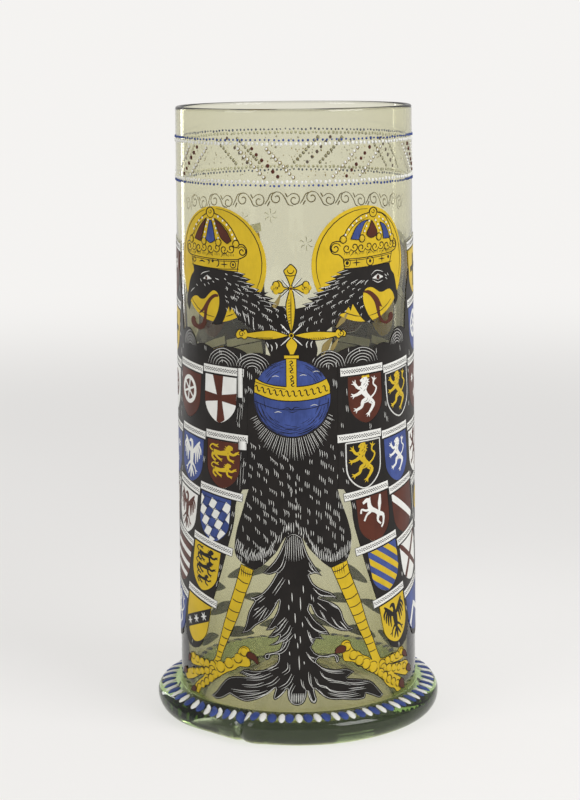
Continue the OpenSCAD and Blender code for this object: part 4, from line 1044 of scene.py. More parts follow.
class HUMPEN_OT_cross_and_orb(bpy.types.Operator):
    """Outlines, shading and rays of the cross, and the drawing on the orb and its band"""
    bl_idname = "humpen.cross_and_orb"
    bl_label = "Cross and orb"

    def execute(self, context):
        dark = Brush("cross_drawing", "black", COAT, 0.08)
        for node in ("cross", "orb_band"):
            dark.trace(node, 0.45)
        for k in range(13):
            dark.line([(-17.4 + 0.6 * k, 185.6), (-17.8 + 0.6 * k, 184.8)], 0.3)
            dark.line([(4 + 0.8 * k, 185.4), (3.6 + 0.8 * k, 184.6)], 0.3)
        dark.line([(-1.8, 188.6), (-1.9, 197), (-1.8, 205.4)], 0.4)
        for k in range(9):
            dark.line([(-3.2, 191.6 + 1.3 * k), (-2.1, 191.9 + 1.3 * k)], 0.3)
        for s, z, start in ((-24.6, 186.6, 0), (20.8, 186.8, 180), (-8.2, 207.8, 0), (4.6, 207.6, 180)):
            dark.curl((s, z), 1.6, start, 1.2, 0.4)
        dark.line([(-4.6, 213.3), (-1.9, 212.7), (0.6, 213.3)], 0.45)
        dark.arc((-1.9, 215.2), 1.4, 170, 370, 0.45)
        for s, z, shift in ((-5.4, 211.2, -0.6), (2.5, 211.8, 0.6), (-6.4, 202.9, -0.6), (3.2, 203.3, 0.6)):
            dark.line([(-1.9 + shift, 207.2), (s + shift, z)], 0.36, (0.8, 0.3))
        dark.dot(EAGLE_S, 186.5, 1.5)
        self.band(dark)
        dark.lay()
        white = Brush("cross_rays", "white", COAT, 0.16)
        for a, b in (((-2.8, 187.5), (-6.5, 191.5)), ((-1, 187.4), (3, 191.3)), ((-2.6, 185.6), (-6.5, 182)),
                     ((-0.8, 185.4), (3, 182)), ((-2.6, 208), (-5.6, 211.2)), ((-1, 208), (2.6, 211.8)),
                     ((-2.7, 206.4), (-6.4, 202.8)), ((-1.1, 206.5), (3.2, 203.2))):
            white.line([a, b], 0.55, (0.9, 0.35))
        white.lay()
        red = Brush("cross_rivets", "red", COAT + 0.1, 0.12)
        red.dot(-1.8, 207.2, 1.2)
        red.lay()
        self.knobs()
        self.orb(random.Random(9))
        return {"FINISHED"}

    def knobs(self):
        """Rounded ends of the upper arms, and thin gold brushed beside the cross."""
        gold = Brush("cross_knobs", "yellow", COAT, 0.14, sides=2)
        curls = Brush("knob_curls", "black", COAT + 0.1, 0.08)
        for s, turn in ((-8.4, 1), (4.8, -1)):
            for z in (208.9, 206):
                gold.dot(s, z, 2.9)
                back = 130 if z > 207 else 20
                curls.arc((s, z), 1.45, 90 - back * turn, 90 + 130 * turn, 0.42)
            gold.dot(s - 1.3 * turn, 207.4, 2.6)
            curls.curl((s, 207.5), 1.3, 90, 1.2 * turn, 0.4)
        gold.lay()
        curls.lay()
        wash = Brush("gold_wash", "gilding", COAT - 0.1, 0.1, sides=2)
        wash.form([(11.8, 177), (13.4, 181), (16.4, 185)], [1.2, 3.4, 1.0])
        wash.form([(15.6, 178), (17, 181), (19.4, 184.6)], [0.9, 2.2, 0.6])
        wash.form([(18.5, 189.4), (21.4, 192.6), (24.6, 196.4)], [0.8, 2.8, 0.8])
        wash.form([(-9.6, 198.8), (-8, 201), (-6.4, 204.6)], [2.6, 2.0, 0.5])
        wash.lay()

    def band(self, dark):
        """Waves along the orb's band and scrolls up its stem."""
        for k in range(12):
            s = -17.2 + 2.75 * k
            z = 160.6 + 2.6 * ((s - EAGLE_S) / 17) ** 2
            dark.line([(s - 1.3, z + 0.7), (s - 0.6, z + 1.3), (s - 0.1, z + 0.5), (s, z - 0.5),
                       (s + 0.6, z - 1.3), (s + 1.3, z - 0.7)], 0.56, (0.5, 0.5))
        dark.line([(-18.4, 165.6), (-10, 163.2), (-4.6, 162.6)], 0.32, EVEN)
        dark.line([(-18.6, 156.8), (-10, 154), (-1.8, 153.3), (7, 154), (14.8, 156.2)], 0.32, EVEN)
        for s, z in ((-2, 174), (-2, 171), (-1.8, 167.5), (-1.5, 165)):
            dark.line([(s - 1.0, z + 0.6), (s + 0.1, z + 1.2), (s + 0.6, z + 0.3), (s - 0.5, z - 0.4),
                       (s + 0.2, z - 1.2), (s + 1.1, z - 0.7)], 0.52)
        dark.line([(-5, 176.2), (1.3, 176.2)], 0.35, EVEN)

    def orb(self, chance):
        """Broken light and dark strokes that round the orb, and a small bird in flight."""
        shade = Brush("orb_shading", "black", COAT, 0.05)
        light = Brush("orb_glints", "white", COAT, 0.05)
        centre = (EAGLE_S, ORB_Z)
        for k in range(240):
            angle = chance.uniform(0, 360)
            reach = 17.4 - 5.5 * chance.random() ** 1.6
            span = chance.uniform(8, 26)
            ends = [around(centre, reach, math.radians(a)) for a in (angle, angle + span)]
            if all(on_paint(("orb",), *end) for end in ends):
                shade.arc(centre, reach, angle, angle + span, 0.2)
        for s, z in ((-9, 168), (3.2, 168.5), (8, 155), (-8, 152), (9, 170)):
            light.line([(s - 1.6, z), (s, z + 0.5), (s + 1.6, z + 0.1)], 0.3)
        shade.line([(-6, 153.6), (-3.6, 154.3), (-2, 153.3), (-0.4, 154.5), (2.4, 153.9)], 0.4)
        shade.line([(-3.4, 152.6), (-1.6, 152.2), (0.6, 152.9)], 0.35)
        shade.lay()
        light.lay()


class HUMPEN_OT_plumage(bpy.types.Operator):
    """White feather strokes on the breast, thighs and wings"""
    bl_idname = "humpen.plumage"
    bl_label = "Plumage"
    humps = [(-19.5, 170, 8.5, 178), (14.5, 171, 8, 179.2), (31, 172, 9, 179.7), (-34.5, 170, 9.5, 179.6),
             (54, 178, 6, 185.5), (-57.5, 178, 6, 185.5)]
    wing_columns, column_step = 13, 11
    wing_rows, row_step = 46, 4.1
    wing_start = (22.5, 224)

    def execute(self, context):
        chance = random.Random(7)
        white = Brush("breast_feathers", "white", COAT, 0.12)
        self.breast(white, chance)
        self.round_orb(white, chance)
        for s, z, half, high in self.humps:
            for k in range(5):
                top = high - 1.35 * k
                reach = half * (1 - 0.17 * k)
                low = z + 1
                white.line([(s - reach, low), (s - 0.75 * reach, low + 0.62 * (top - low)), (s, top),
                            (s + 0.75 * reach, low + 0.62 * (top - low)), (s + reach, low)], 0.26,
                           steps=4, over=PLUMAGE)
        for s, z, lean in ((-13, 182, 0.8), (-11, 181, 0.6), (-9, 182, 0.8), (5.5, 182.5, -0.7),
                           (7.5, 182.5, -0.7)):
            white.line([(s, z + 1.4), (s + lean, z), (s + lean * 0.6, z - 1.6)], 0.45, over=BREAST)
        self.thighs(white, chance)
        white.lay()
        feathers = Brush("wing_feathers", "white", COAT, 0.1)
        self.wings(feathers, chance)
        feathers.lay()
        seam = Brush("wing_joins", "black", COAT - 0.12, 0.1)
        for s in (-22.25, 18.63):
            seam.line([(s, 177.5), (s, 150), (s, 117)], 0.7, EVEN)
        seam.lay()
        return {"FINISHED"}

    def breast(self, white, chance):
        """Loose tufts of one to four hooks."""
        for spot in scatter(BREAST, (-32, 30), (85, 176), 3.7, 2600, chance):
            s, z = spot
            if math.hypot(s - EAGLE_S, z - ORB_Z) < (25.5 if z < ORB_Z else 20):
                continue
            lean = chance.uniform(0.2, 0.8) if s < EAGLE_S else chance.uniform(-0.3, 0.5)
            step = (chance.uniform(0.75, 1.05), -chance.uniform(0.3, 0.9))
            size = chance.uniform(2.2, 3.6)
            for n in range(chance.choice((1, 2, 2, 3, 3, 4))):
                white.hook(s + step[0] * n, z + step[1] * n, size * chance.uniform(0.7, 1.05), lean, 0.25,
                           BREAST)
        for z in (121, 117.5, 113.5, 110, 106.5):
            white.line([(-0.5, z), (-0.4, z - 2.2)], 0.34, over=BREAST)

    def round_orb(self, white, chance):
        """Lines that spread from the orb, longest below it."""
        for k in range(48):
            angle = math.radians(208 + 126 * k / 47 + chance.uniform(-0.8, 0.8))
            size = 2.0 + 8.0 * max(0.0, -math.sin(angle)) ** 3 + chance.uniform(-1.1, 0.9)
            white.line([around((EAGLE_S, ORB_Z), reach, angle) for reach in (18.0, 18.0 + size)], 0.19,
                       (0.9, 0.15), over=PLUMAGE)

    def thighs(self, white, chance):
        """Longer strokes where the thighs end over the legs, and a fan over the tail."""
        for low, high, bend in ((-29, -11.5, 0.9), (6.5, 24.4, 0.25)):
            for k in range(23):
                t = k / 22
                s = low + (high - low) * t
                foot = 84 + 4.5 * (2 * t - 1) ** 2 if low < 0 else 83.6 + 5 * (2 * t - 1) ** 2
                size = chance.uniform(3.2, 5.6)
                white.line([(s + bend * 1.4, foot + size), (s + bend * 0.5, foot + size * 0.5), (s, foot)],
                           0.25, (0.3, 0.6), over=BREAST)
        for k in range(19):
            t = k / 9 - 1
            s = -1.6 + 9.5 * t
            top = 102.5 - 12 * t * t + chance.uniform(-1, 1.4)
            size = chance.uniform(3, 5)
            white.line([(s, top), (s + 0.5 * t, top - size * 0.5), (s + 1.3 * t, top - size)], 0.28,
                       over=BREAST)
        for k in range(9):
            t = k / 4 - 1
            top = 96.4 - 3.5 * t * t
            white.line([(-1.6 + 3.4 * t, top), (-1.6 + 3.9 * t, top - 5),
                        (-1.6 + 4.6 * t, top - 7 - 5 * (1 - t * t))], 0.22, (0.8, 0.2), over=("tail",))

    def wings(self, feathers, chance):
        """Short flicks on the black between the shields."""
        for side in (-1, 1):
            for column in range(self.wing_columns):
                for row in range(self.wing_rows):
                    z = self.wing_start[1] - self.row_step * row + chance.uniform(-1.2, 1.2)
                    out = self.wing_start[0] + self.column_step * column + wing_lean(z)
                    s = EAGLE_S + side * (out + chance.uniform(-3.6, 3.6))
                    size = chance.uniform(1.9, 3.2)
                    drift = 0.25 * side if z < WING_BEND_Z else 0.1
                    ends = [(s - 0.45, z), (s + 0.45, z), (s + drift * size, z - size), (s, z - size * 0.5)]
                    if chance.random() < 0.8 and all(on_paint(WINGS, *p) for p in ends):
                        feathers.comb(s, z, chance.choice((1, 2, 2)), (0.8, -0.3),
                                      (drift * size, -size), 0.25, over=WINGS)
        self.shoulder_streaks(feathers, chance)

    def shoulder_streaks(self, feathers, chance):
        """Thin streaks between the first shields and the breast."""
        for low, high in ((144, 157), (128, 134), (115, 131)):
            for k in range(3):
                s = -27.2 + 1.3 * k
                top = high - chance.uniform(0, 4)
                feathers.line([(s + 0.4, top), (s, top - 4), (s - 0.5, low + chance.uniform(0, 5))], 0.14,
                              over=WINGS)


class HUMPEN_OT_tail_feathers(bpy.types.Operator):
    """White lines that follow the feathers of the tail"""
    bl_idname = "humpen.tail_feathers"
    bl_label = "Tail feathers"
    flow = [
        [(-6, 86), (-7.5, 82), (-12, 77.6)], [(-6.5, 77), (-11.3, 69.5)], [(-15.5, 68.3), (-19, 65.4)],
        [(-14, 62.7), (-18, 56)], [(-15.2, 63.5), (-20.6, 58)], [(-17.6, 62.5), (-20, 61)],
        [(-10, 65.5), (-11, 60.5), (-14.5, 56)], [(-5.8, 58.5), (-9.4, 54.7)],
        [(-5.2, 58), (-8.5, 53), (-11, 51.2)], [(-3.5, 54.8), (-5.2, 51.5), (-9.6, 48.2), (-13, 47.4)],
        [(-3, 51.5), (-6, 48), (-12.6, 45.6)], [(-4.6, 48.6), (-6.4, 44.5), (-9, 42.5), (-12.7, 42.3)],
        [(5, 84), (6, 81), (10.3, 77.5)], [(4.5, 80.3), (7.6, 77.8)],
        [(6.8, 72), (9, 69.4), (12, 68), (17, 67.4)], [(5.8, 69), (6.2, 66.4)], [(8.7, 65), (12, 61.8)],
        [(9.8, 61.5), (13, 55)], [(14, 64.4), (18, 62)], [(15, 58), (17.5, 54), (22, 51.2)],
        [(19, 55.6), (22, 51.8)], [(3, 59), (6, 54), (10.5, 51.4), (13, 51.6)],
        [(4, 52.6), (5.4, 49), (10.4, 47.6)], [(4.4, 50.5), (6.6, 46), (9.6, 45)],
        [(3.4, 42.4), (5.8, 38.4), (9.6, 37.4)], [(5, 40.2), (9, 38.8), (14.5, 39.4)],
        [(-4.8, 37.4), (-5, 34.5), (-7.5, 32.4)], [(-9.8, 36), (-14, 34)],
        [(-3, 32.2), (-5.3, 28), (-9, 25.6)],
        [(-9.2, 30.8), (-12, 28), (-15.4, 26.4)], [(-12.4, 32.2), (-18, 29.6), (-25, 28.8)],
        [(-17, 32), (-21, 30.6), (-26, 31.4)], [(-15.8, 27.6), (-20, 26), (-26.4, 25.4)],
        [(-10.8, 25.4), (-14, 22.4), (-20, 19.2)], [(-14, 24), (-20, 21.4), (-28, 19.6)],
        [(-17.8, 23.6), (-24, 22.6), (-32, 22.4)], [(-6.2, 24), (-9.6, 20.6)],
        [(-2.4, 27.8), (-4.2, 24), (-4.2, 20.4)], [(4.4, 33), (4.8, 28), (7, 24), (7.8, 20.5), (6.6, 18.6)],
        [(4, 24), (5, 20.5), (6.8, 18.8)], [(1, 29.6), (1.4, 27), (2.4, 25.2)],
        [(7, 30.6), (8.5, 27), (12, 25.6), (14, 23.4)], [(9.6, 33), (11, 30.4), (16, 28.4)],
        [(9.8, 34.6), (14, 32.8), (20, 32)], [(13, 28.4), (18, 27.6), (23, 25.8)],
        [(12, 26), (14, 24), (19, 22.4), (26, 22.2)], [(9, 24.4), (11.5, 20.6), (14.5, 19)],
        [(13, 22.6), (20, 20.6), (28, 20.4)], [(21.6, 26.8), (26, 25.6), (33, 25.2)], [(23, 23.5), (31, 23)],
    ]
    dashes = [(-4, 76, 73.8), (2.3, 73.3, 69.8), (-2.7, 70, 65.7), (1, 68, 61.8), (-4.2, 64.4, 62),
              (-1.4, 60.5, 56), (1.8, 56.4, 54), (-1.5, 51, 48.6), (0.8, 49.8, 46.4), (-0.4, 46.8, 44),
              (-4, 42.6, 40.8), (0.2, 40.6, 34), (2.4, 38, 36.6)]

    def execute(self, context):
        white = Brush("tail_lines", "white", COAT, 0.12)
        tail = ("tail",)
        for points in self.flow:
            white.line(points, 0.28, over=tail)
            white.line([(s + 0.9, z - 0.9) for s, z in points], 0.2, over=tail)
        for s, high, low in self.dashes:
            white.line([(s, high), (s + 0.2, low)], 0.4, over=tail)
        for loop in outlines("tail"):
            white.line(self.inner_edge(loop, 0.6), 0.2, steps=1, over=tail)
        for k in range(8):
            white.line([(-3.4 + 0.8 * k, 23), (-3.4 + 0.8 * k, 18.4)], 0.34, over=tail)
        white.lay()
        return {"FINISHED"}

    def inner_edge(self, loop, depth):
        """A closed outline moved into the coat."""
        moved = []
        for k, here in enumerate(loop[:-1]):
            along = Vector(loop[k + 1]) - Vector(loop[k - 1 if k else -2])
            across = Vector((-along.y, along.x)).normalized() * depth
            spot = Vector(here) + across
            moved.append(spot if on_paint(("tail",), spot.x, spot.y) else Vector(here) - across)
        return moved


class HUMPEN_OT_legs(bpy.types.Operator):
    """Dark scale bands, hatching and outlines of the legs and claws"""
    bl_idname = "humpen.legs"
    bl_label = "Legs"
    left_bands = [(-23, 78.5), (-24, 74), (-26.5, 69.7), (-28, 64.8), (-30, 60), (-31.5, 55.5), (-33.5, 51),
                  (-35, 46.7), (-37, 43), (-38.5, 39.7), (-39.3, 37.2), (-39.9, 34.8)]
    toe_lines = [
        ([(-38, 32), (-34, 34.2), (-30.5, 36), (-27.5, 38.2), (-25, 41)], 5.4, 200),
        ([(-43, 31.6), (-48, 31.6), (-53, 31.8), (-58, 32.6)], 4.4, 20),
        ([(-43.5, 29.2), (-48, 27.8), (-53, 26.4), (-59, 25)], 4.2, 20),
        ([(-41.5, 27.6), (-45, 24.4), (-49, 21.4), (-53, 18.8)], 4.2, 60),
        ([(36, 31.5), (32, 33.8), (28.5, 36), (25.4, 39), (22.2, 43.4)], 5.4, 190),
        ([(41.5, 31.8), (46, 32.8), (51, 33.2), (56, 34)], 4.4, 10),
        ([(42.5, 29.8), (47, 28.8), (52, 27.6), (58.5, 26.6)], 4.2, 10),
        ([(40.5, 27.8), (44, 25), (48, 22.2), (52.5, 19.8)], 4.2, 330),
    ]
    right_bands = [(18, 80), (20, 76.5), (22, 71.5), (24, 66.5), (26, 62.5), (27.8, 58.5), (29.3, 54.5),
                   (31, 51), (33, 47), (34.8, 43.7), (36, 40)]

    def execute(self, context):
        dark = Brush("leg_drawing", "black", COAT, 0.08)
        for node, bands, side in (("left_leg", self.left_bands, -1), ("right_leg", self.right_bands, 1)):
            dark.trace(node, 0.36)
            for s, z in bands:
                dark.line([(s - 4.5, z + 0.5 - 1.3 * side), (s - 1.4, z - 0.7 - 0.3 * side),
                           (s + 1.4, z - 0.7 + 0.3 * side), (s + 4.5, z + 0.5 + 1.3 * side)],
                          0.42, EVEN, steps=5, over=(node,))
            for k in range(6):
                s, z = bands[0][0] - 2.6 + 1.05 * k, bands[0][1] + 0.6
                dark.line([(s, z + 2.2), (s + 0.6 * side, z - 3)], 0.3, over=(node,))
        dark.lay()
        self.toes()
        edges = Brush("claw_edges", "black", SECOND_COAT, 0.06)
        edges.trace("claws", 0.35, SECOND_COAT)
        edges.lay()
        return {"FINISHED"}

    def toes(self):
        """Rounded joints along each toe, each with a dark line under it."""
        joints = Brush("toe_joints", "yellow", COAT - 0.05, 0.2, sides=2)
        folds = Brush("toe_folds", "black", COAT + 0.14, 0.07)
        for line, size, start in self.toe_lines:
            path = smooth_line(line, 4)
            long = sum((b - a).length for a, b in zip(path, path[1:]))
            count = max(2, round(long / (0.9 * size)))
            for k in range(count + 1):
                place = path[round((len(path) - 1) * k / count)]
                wide = size * (1 - 0.25 * k / count)
                joints.dot(place[0], place[1], wide)
                folds.arc(place, 0.5 * wide, start, start + 150, 0.44)
                folds.arc(place, 0.5 * wide, start + 200, start + 300, 0.3)
        joints.lay()
        folds.lay()


# Shields

class Place:
    """Column k, row j of a wing: turns shield millimetres, from the shield's middle, into unrolled ones"""
    rows_z = (210, 183.5, 156.3, 126.5, 101, 76.5, 50.5)
    rows_in = (0, 0, 0.4, 2.4, 2.4, 1.1, 0.1)
    row_tilt = (4, 4, 2, 2, 7, 11, 13)
    label_more = (0, 0, 2.4, 2.8, 4.5, 5, 2)
    first_rows = (2, 2, 0, 0, 0, 0)
    first_column = 35.4
    column_step = 22
    column_tilt = 4
    label_up = 13.3
    label_half = 10.4

    def __init__(self, side, k, j):
        self.side = side
        self.z = self.rows_z[j]
        out = self.first_column + self.column_step * k + wing_lean(self.z) - self.rows_in[j]
        self.s = EAGLE_S + side * out
        self.turn = math.radians(side * ((self.column_tilt if k else 0) + self.row_tilt[j]))
        self.more = 0 if k else self.label_more[j]

    def at(self, points):
        """Unrolled places of shield-local points."""
        c, n = math.cos(self.turn), math.sin(self.turn)
        return [(self.s + c * p[0] - n * p[1], self.z + n * p[0] + c * p[1], *p[2:]) for p in points]

    def local(self, s, z):
        """Shield millimetres of an unrolled place."""
        c, n = math.cos(self.turn), math.sin(self.turn)
        return c * (s - self.s) + n * (z - self.z), c * (z - self.z) - n * (s - self.s)

    def label_ends(self):
        """Local left and right ends of the label over the shield."""
        half = self.label_half
        return (-half, half + self.more) if self.side < 0 else (-half - self.more, half)


class Charges:
    """Figures painted on the shields, in shield millimetres"""
    half_high = 10.8
    edge = ((-half_high, 0.0), (-9.2, 4.1), (-5.7, 7.6), (-1.5, 9.2), (half_high, 9.2))

    def __init__(self, brushes):
        self.brushes = brushes

    @classmethod
    def half_width(cls, z):
        """Half of a shield's width at a height."""
        for (low, narrow), (high, wide) in zip(cls.edge, cls.edge[1:]):
            if low <= z <= high:
                return narrow + (wide - narrow) * (z - low) / (high - low)
        return 0.0

    def forms(self, place, colour, figures, size=1.0, flip=1, shift=(0, 0)):
        """Broad strokes; each figure is a list of points and a list of widths."""
        for points, widths in figures:
            moved = [(shift[0] + flip * size * p[0], shift[1] + size * p[1], *p[2:]) for p in points]
            self.brushes[colour].form(place.at(moved), [size * wide for wide in widths])

    def tips(self, place, colour, tufts, width, size, flip, shift):
        """Pointed strokes, several from each root: claws, manes and tail tufts."""
        self.forms(place, colour, [([root, tip], [width, 0.2]) for root, ends in tufts for tip in ends],
                   size, flip, shift)

    def detail(self, place, strokes, size=1.0):
        """Thin dark lines over a figure."""
        for points in strokes:
            self.brushes["detail"].line(place.at([(size * a, size * b) for a, b in points]), 0.26 * size)

    def lion(self, place, colour, size=1.0, shift=(0, 0)):
        """A lion on its hind legs."""
        self.forms(place, colour, [
            ([(0.2, 9.4), (-0.6, 6.8), (-1.4, 4.0), (0.2, 1.6), (2.0, -0.6)], [2.0, 3.6, 3.3, 2.3, 2.7]),
            ([(0.8, 9.4), (-1.0, 9.0), (-2.9, 8.4)], [1.5, 2.3, 0.9]),
            ([(-1.0, 8.2), (-2.4, 7.1)], [1.1, 0.4]),
            ([(-1.8, 5.4), (-4.2, 5.5), (-5.8, 7.4)], [2.1, 1.3, 1.3]),
            ([(-2.0, 3.8), (-4.4, 2.6), (-6.4, 2.2)], [2.1, 1.4, 1.2]),
            ([(1.4, -0.2), (-1.8, -1.1), (-2.6, -3.2), (-5.2, -4.4)], [2.5, 2.1, 1.4, 1.2]),
            ([(2.0, -0.8), (4.0, -2.6), (2.7, -5.0), (1.2, -6.6)], [2.6, 2.0, 1.4, 1.1]),
            ([(2.6, 0.2), (4.9, 2.0), (6.0, 4.4), (4.3, 6.2), (4.7, 8.2)], [0.9, 0.8, 0.9, 0.8, 1.0]),
        ], size, 1, shift)
        claws = [((-5.7, 7.3), ((-5.5, 9.3), (-6.9, 8.9), (-7.5, 7.5))),
                 ((-6.3, 2.2), ((-7.8, 3.2), (-8.1, 1.9), (-7.0, 0.8))),
                 ((-5.1, -4.4), ((-6.7, -3.5), (-6.9, -4.8), (-5.6, -5.9))),
                 ((1.3, -6.5), ((-0.5, -7.0), (0.1, -8.1), (1.5, -8.4))),
                 ((4.7, 8.0), ((3.4, 9.5), (5.1, 9.8), (6.3, 8.7))),
                 ((0.4, 8.2), ((2.0, 8.8), (2.1, 7.4), (1.5, 6.0)))]
        self.tips(place, colour, claws, 1.0, size, 1, shift)
        self.detail(place, (((-1.6, 9.1), (-1.0, 9.3)), ((0.4, 8.4), (0.0, 7.4)), ((-0.2, 7.2), (-1.4, 6.2)),
                            ((0.6, 6.6), (-0.4, 5.4)), ((-0.2, 4.6), (-1.4, 3.6)), ((-3.0, 5.6), (-2.2, 4.8)),
                            ((0.8, 0.4), (0.2, -0.8), (-1.4, -1.2)), ((2.6, -1.4), (3.4, -2.6))), size)

    def crowned_lion(self, place, colour):
        """A lion with a golden crown."""
        self.lion(place, colour)
        self.forms(place, "yellow", [([(-2.0, 10.2), (0, 9.9), (2.0, 10.3)], [1.3, 1.1, 1.5])])

    def small_lion(self, place, colour):
        """A lion with room round it."""
        self.lion(place, colour, 0.88, (0.6, 0.4))

    def passant(self, place, colour, lift, size):
        """A walking lion, its middle at a height."""
        self.forms(place, colour, [
            ([(4.8, 0.6), (1, 0.4), (-2.6, 1.0)], [2.2, 1.7, 2.4]),
            ([(-2.4, 1.2), (-3.4, 3.0), (-5.0, 2.8)], [2.4, 2.6, 1.2]),
            ([(-3.0, 1.0), (-5.4, 0.4), (-7.0, 1.4)], [1.4, 1.0, 1.1]),
            ([(-2.6, 0.4), (-3.2, -1.6), (-4.8, -2.2)], [1.4, 1.0, 0.9]),
            ([(4.2, 0), (2.8, -1.4), (1.2, -2.2)], [1.5, 1.0, 0.9]),
            ([(5.0, 0.2), (5.6, -1.4), (4.4, -2.6)], [1.5, 1.0, 0.9]),
            ([(5.4, 1.0), (7.0, 2.2), (5.6, 3.6), (3.6, 3.2)], [0.7, 0.6, 0.6, 1.0]),
        ], size, -1, (0, lift))
        claws = [((-6.9, 1.3), ((-8.0, 2.1), (-8.2, 1.0))), ((-4.7, -2.2), ((-5.9, -1.9), (-5.7, -3.0))),
                 ((1.3, -2.2), ((0.0, -1.9), (0.3, -3.0))), ((4.5, -2.6), ((3.2, -2.5), (3.7, -3.5))),
                 ((3.7, 3.2), ((2.3, 4.0), (2.1, 2.7))),
                 ((-2.8, 2.2), ((-1.3, 3.6), (-0.7, 2.5), (-1.0, 1.4)))]
        self.tips(place, colour, claws, 0.85, size, -1, (0, lift))

    def lions_two(self, place, colour):
        """Two walking lions."""
        self.passant(place, colour, 4.8, 1.1)
        self.passant(place, colour, -2.9, 0.95)

    def lions_three(self, place, colour):
        """Three walking lions."""
        self.passant(place, colour, 6.0, 0.98)
        self.passant(place, colour, 0.2, 0.95)
        self.passant(place, colour, -5.4, 0.72)

    def eagle(self, place, colour):
        """An eagle with spread wings."""
        figures = [([(0, 5.5), (0, 2), (0, -2), (0, -4)], [1.8, 3.4, 2.8, 1.4]),
                   ([(0.2, 5.4), (-0.2, 7.6), (-1.4, 8.2), (-2.8, 7.4)], [1.6, 2.1, 1.7, 0.5]),
                   ([(0, -3.6), (0, -6.4), (0, -9)], [1.3, 1.4, 0.7])]
        for side in (-1, 1):
            half = [([(1.2, 3.2), (3.4, 5.4), (5.4, 7.8), (6.4, 9.2)], [1.8, 2.2, 1.6, 0.7]),
                    ([(5.6, 7.4), (7.2, 5.6), (7.7, 3.4)], [1.4, 1.2, 0.5]),
                    ([(4.8, 6.2), (6.2, 3.8), (6.7, 1.2)], [1.4, 1.2, 0.5]),
                    ([(4.0, 5.2), (5.0, 2.4), (5.3, -0.6)], [1.4, 1.2, 0.5]),
                    ([(3.0, 4.2), (3.6, 1.2), (3.7, -1.8)], [1.4, 1.1, 0.5]),
                    ([(0.9, -1.8), (3.0, -3.6), (4.0, -5.0)], [1.2, 0.9, 0.8]),
                    ([(3.8, -4.8), (5.4, -5.2)], [0.8, 0.4]), ([(3.8, -4.8), (4.4, -6.6)], [0.8, 0.4]),
                    ([(0.6, -4), (1.8, -6.4), (2.7, -8.0)], [1.0, 1.1, 0.6])]
            figures += [([(side * a, b) for a, b in points], widths) for points, widths in half]
        self.forms(place, colour, figures)

    def horse(self, place, colour):
        """A leaping horse."""
        self.forms(place, colour, [
            ([(-5.8, 8.4), (-3.6, 9.4), (-2.0, 9.0)], [1.1, 1.9, 1.8]),
            ([(-2.0, 9.0), (-1.6, 10.6)], [0.9, 0.3]),
            ([(-2.4, 9.2), (-2.4, 6.6), (-1.6, 4.6)], [1.8, 2.2, 2.6]),
            ([(-1.8, 4.8), (0.6, 3.4), (3.0, 1.4)], [2.4, 1.9, 2.4]),
            ([(-2.2, 4.8), (-4.6, 4.8), (-6.8, 5.8), (-7.4, 4.0)], [1.4, 1.0, 0.9, 0.9]),
            ([(-2.0, 3.8), (-4.4, 2.6), (-6.0, 0.2)], [1.4, 1.0, 0.9]),
            ([(2.8, 1.6), (5.2, 0.2), (4.8, -3.4), (3.4, -5.2)], [2.2, 1.6, 1.0, 0.9]),
            ([(2.2, 1.0), (1.6, -1.4), (3.2, -3.4)], [1.8, 1.1, 0.9]),
            ([(3.0, 2.6), (3.6, 6.2), (4.4, 10.2)], [0.9, 2.1, 1.0]),
        ])

    def cross(self, place, colour):
        """A cross whose arms widen to the shield's edges."""
        self.forms(place, colour, [
            ([(0, 0.2), (-1.2, 11.2)], [2.3, 6.2]),
            ([(0, 1.2), (0.4, -4), (0.7, -8.2), (0.8, -11)], [2.3, 3.2, 4.4, 5.2]),
            ([(0.5, 0.7), (-9.8, 0.3)], [2.3, 5.0]), ([(-0.5, 0.7), (9.8, 0.9)], [2.3, 5.6]),
        ])

    def plain_cross(self, place, colour):
        """A cross with a free end on each arm."""
        self.forms(place, colour, [([(0, 7.6), (0, -7.4)], [2.6, 2.6]),
                                   ([(-6.4, 1.4), (6.4, 1.4)], [2.6, 2.6])])

    def saltire(self, place, colour):
        """Two crossed bars."""
        for slope in (-1.1, 1.1):
            self.band(place, colour, 1.2, slope, 2.4)

    def band(self, place, colour, rise, slope, width):
        """A bar across the shield, with enough length for the edges to cut both ends."""
        run = []
        for k in range(-60, 61):
            a = k * 0.2
            b = rise + slope * a
            spare = 0.5 * width * abs(slope) + 0.2
            if -self.half_high < b < self.half_high + 0.5 * width \
                    and abs(a) < self.half_width(min(b, self.half_high)) + spare:
                run.append((a, b))
        if len(run) > 12:
            ends = run[:7:2] + run[-7::2]
            self.forms(place, colour, [(ends, [width] * len(ends))])

    def bend(self, place, colour):
        """One slanting bar."""
        self.band(place, colour, 1.5, -0.9, 3.0)

    def bendy(self, place, colour):
        """Four slanting bars."""
        for rise in (12.4, 5.4, -1.6, -8.6):
            self.band(place, colour, rise, -0.9, 2.6)

    def bars(self, place, colour):
        """Level bars."""
        for rise in (6.4, 0.4, -5.2):
            self.band(place, colour, rise, 0.0, 2.6)

    def chevron(self, place, colour):
        """A gable of two bars."""
        self.forms(place, colour, [([(-9.4, -6.0), (0, 2.8, 1), (9.4, -6.0)], [2.6, 2.6, 2.6])])

    def starred_band(self, place, colour):
        """A dark rising band with pale stars."""
        self.band(place, colour, 0.8, 0.65, 5.6)
        self.stars(place, "star", ((-5.4, -2.7), (0, 0.8), (5.4, 4.3)))

    def wheel(self, place, colour):
        """A wheel with six spokes."""
        middle = place.at([(-0.6, 2.0)])[0]
        brush = self.brushes[colour]
        brush.ring(middle, 5.6, 1.9)
        for k in range(6):
            brush.line([middle, around(middle, 5, 0.3 + math.pi * k / 3)], 1.0, EVEN)
        brush.dot(*middle, 3.0)

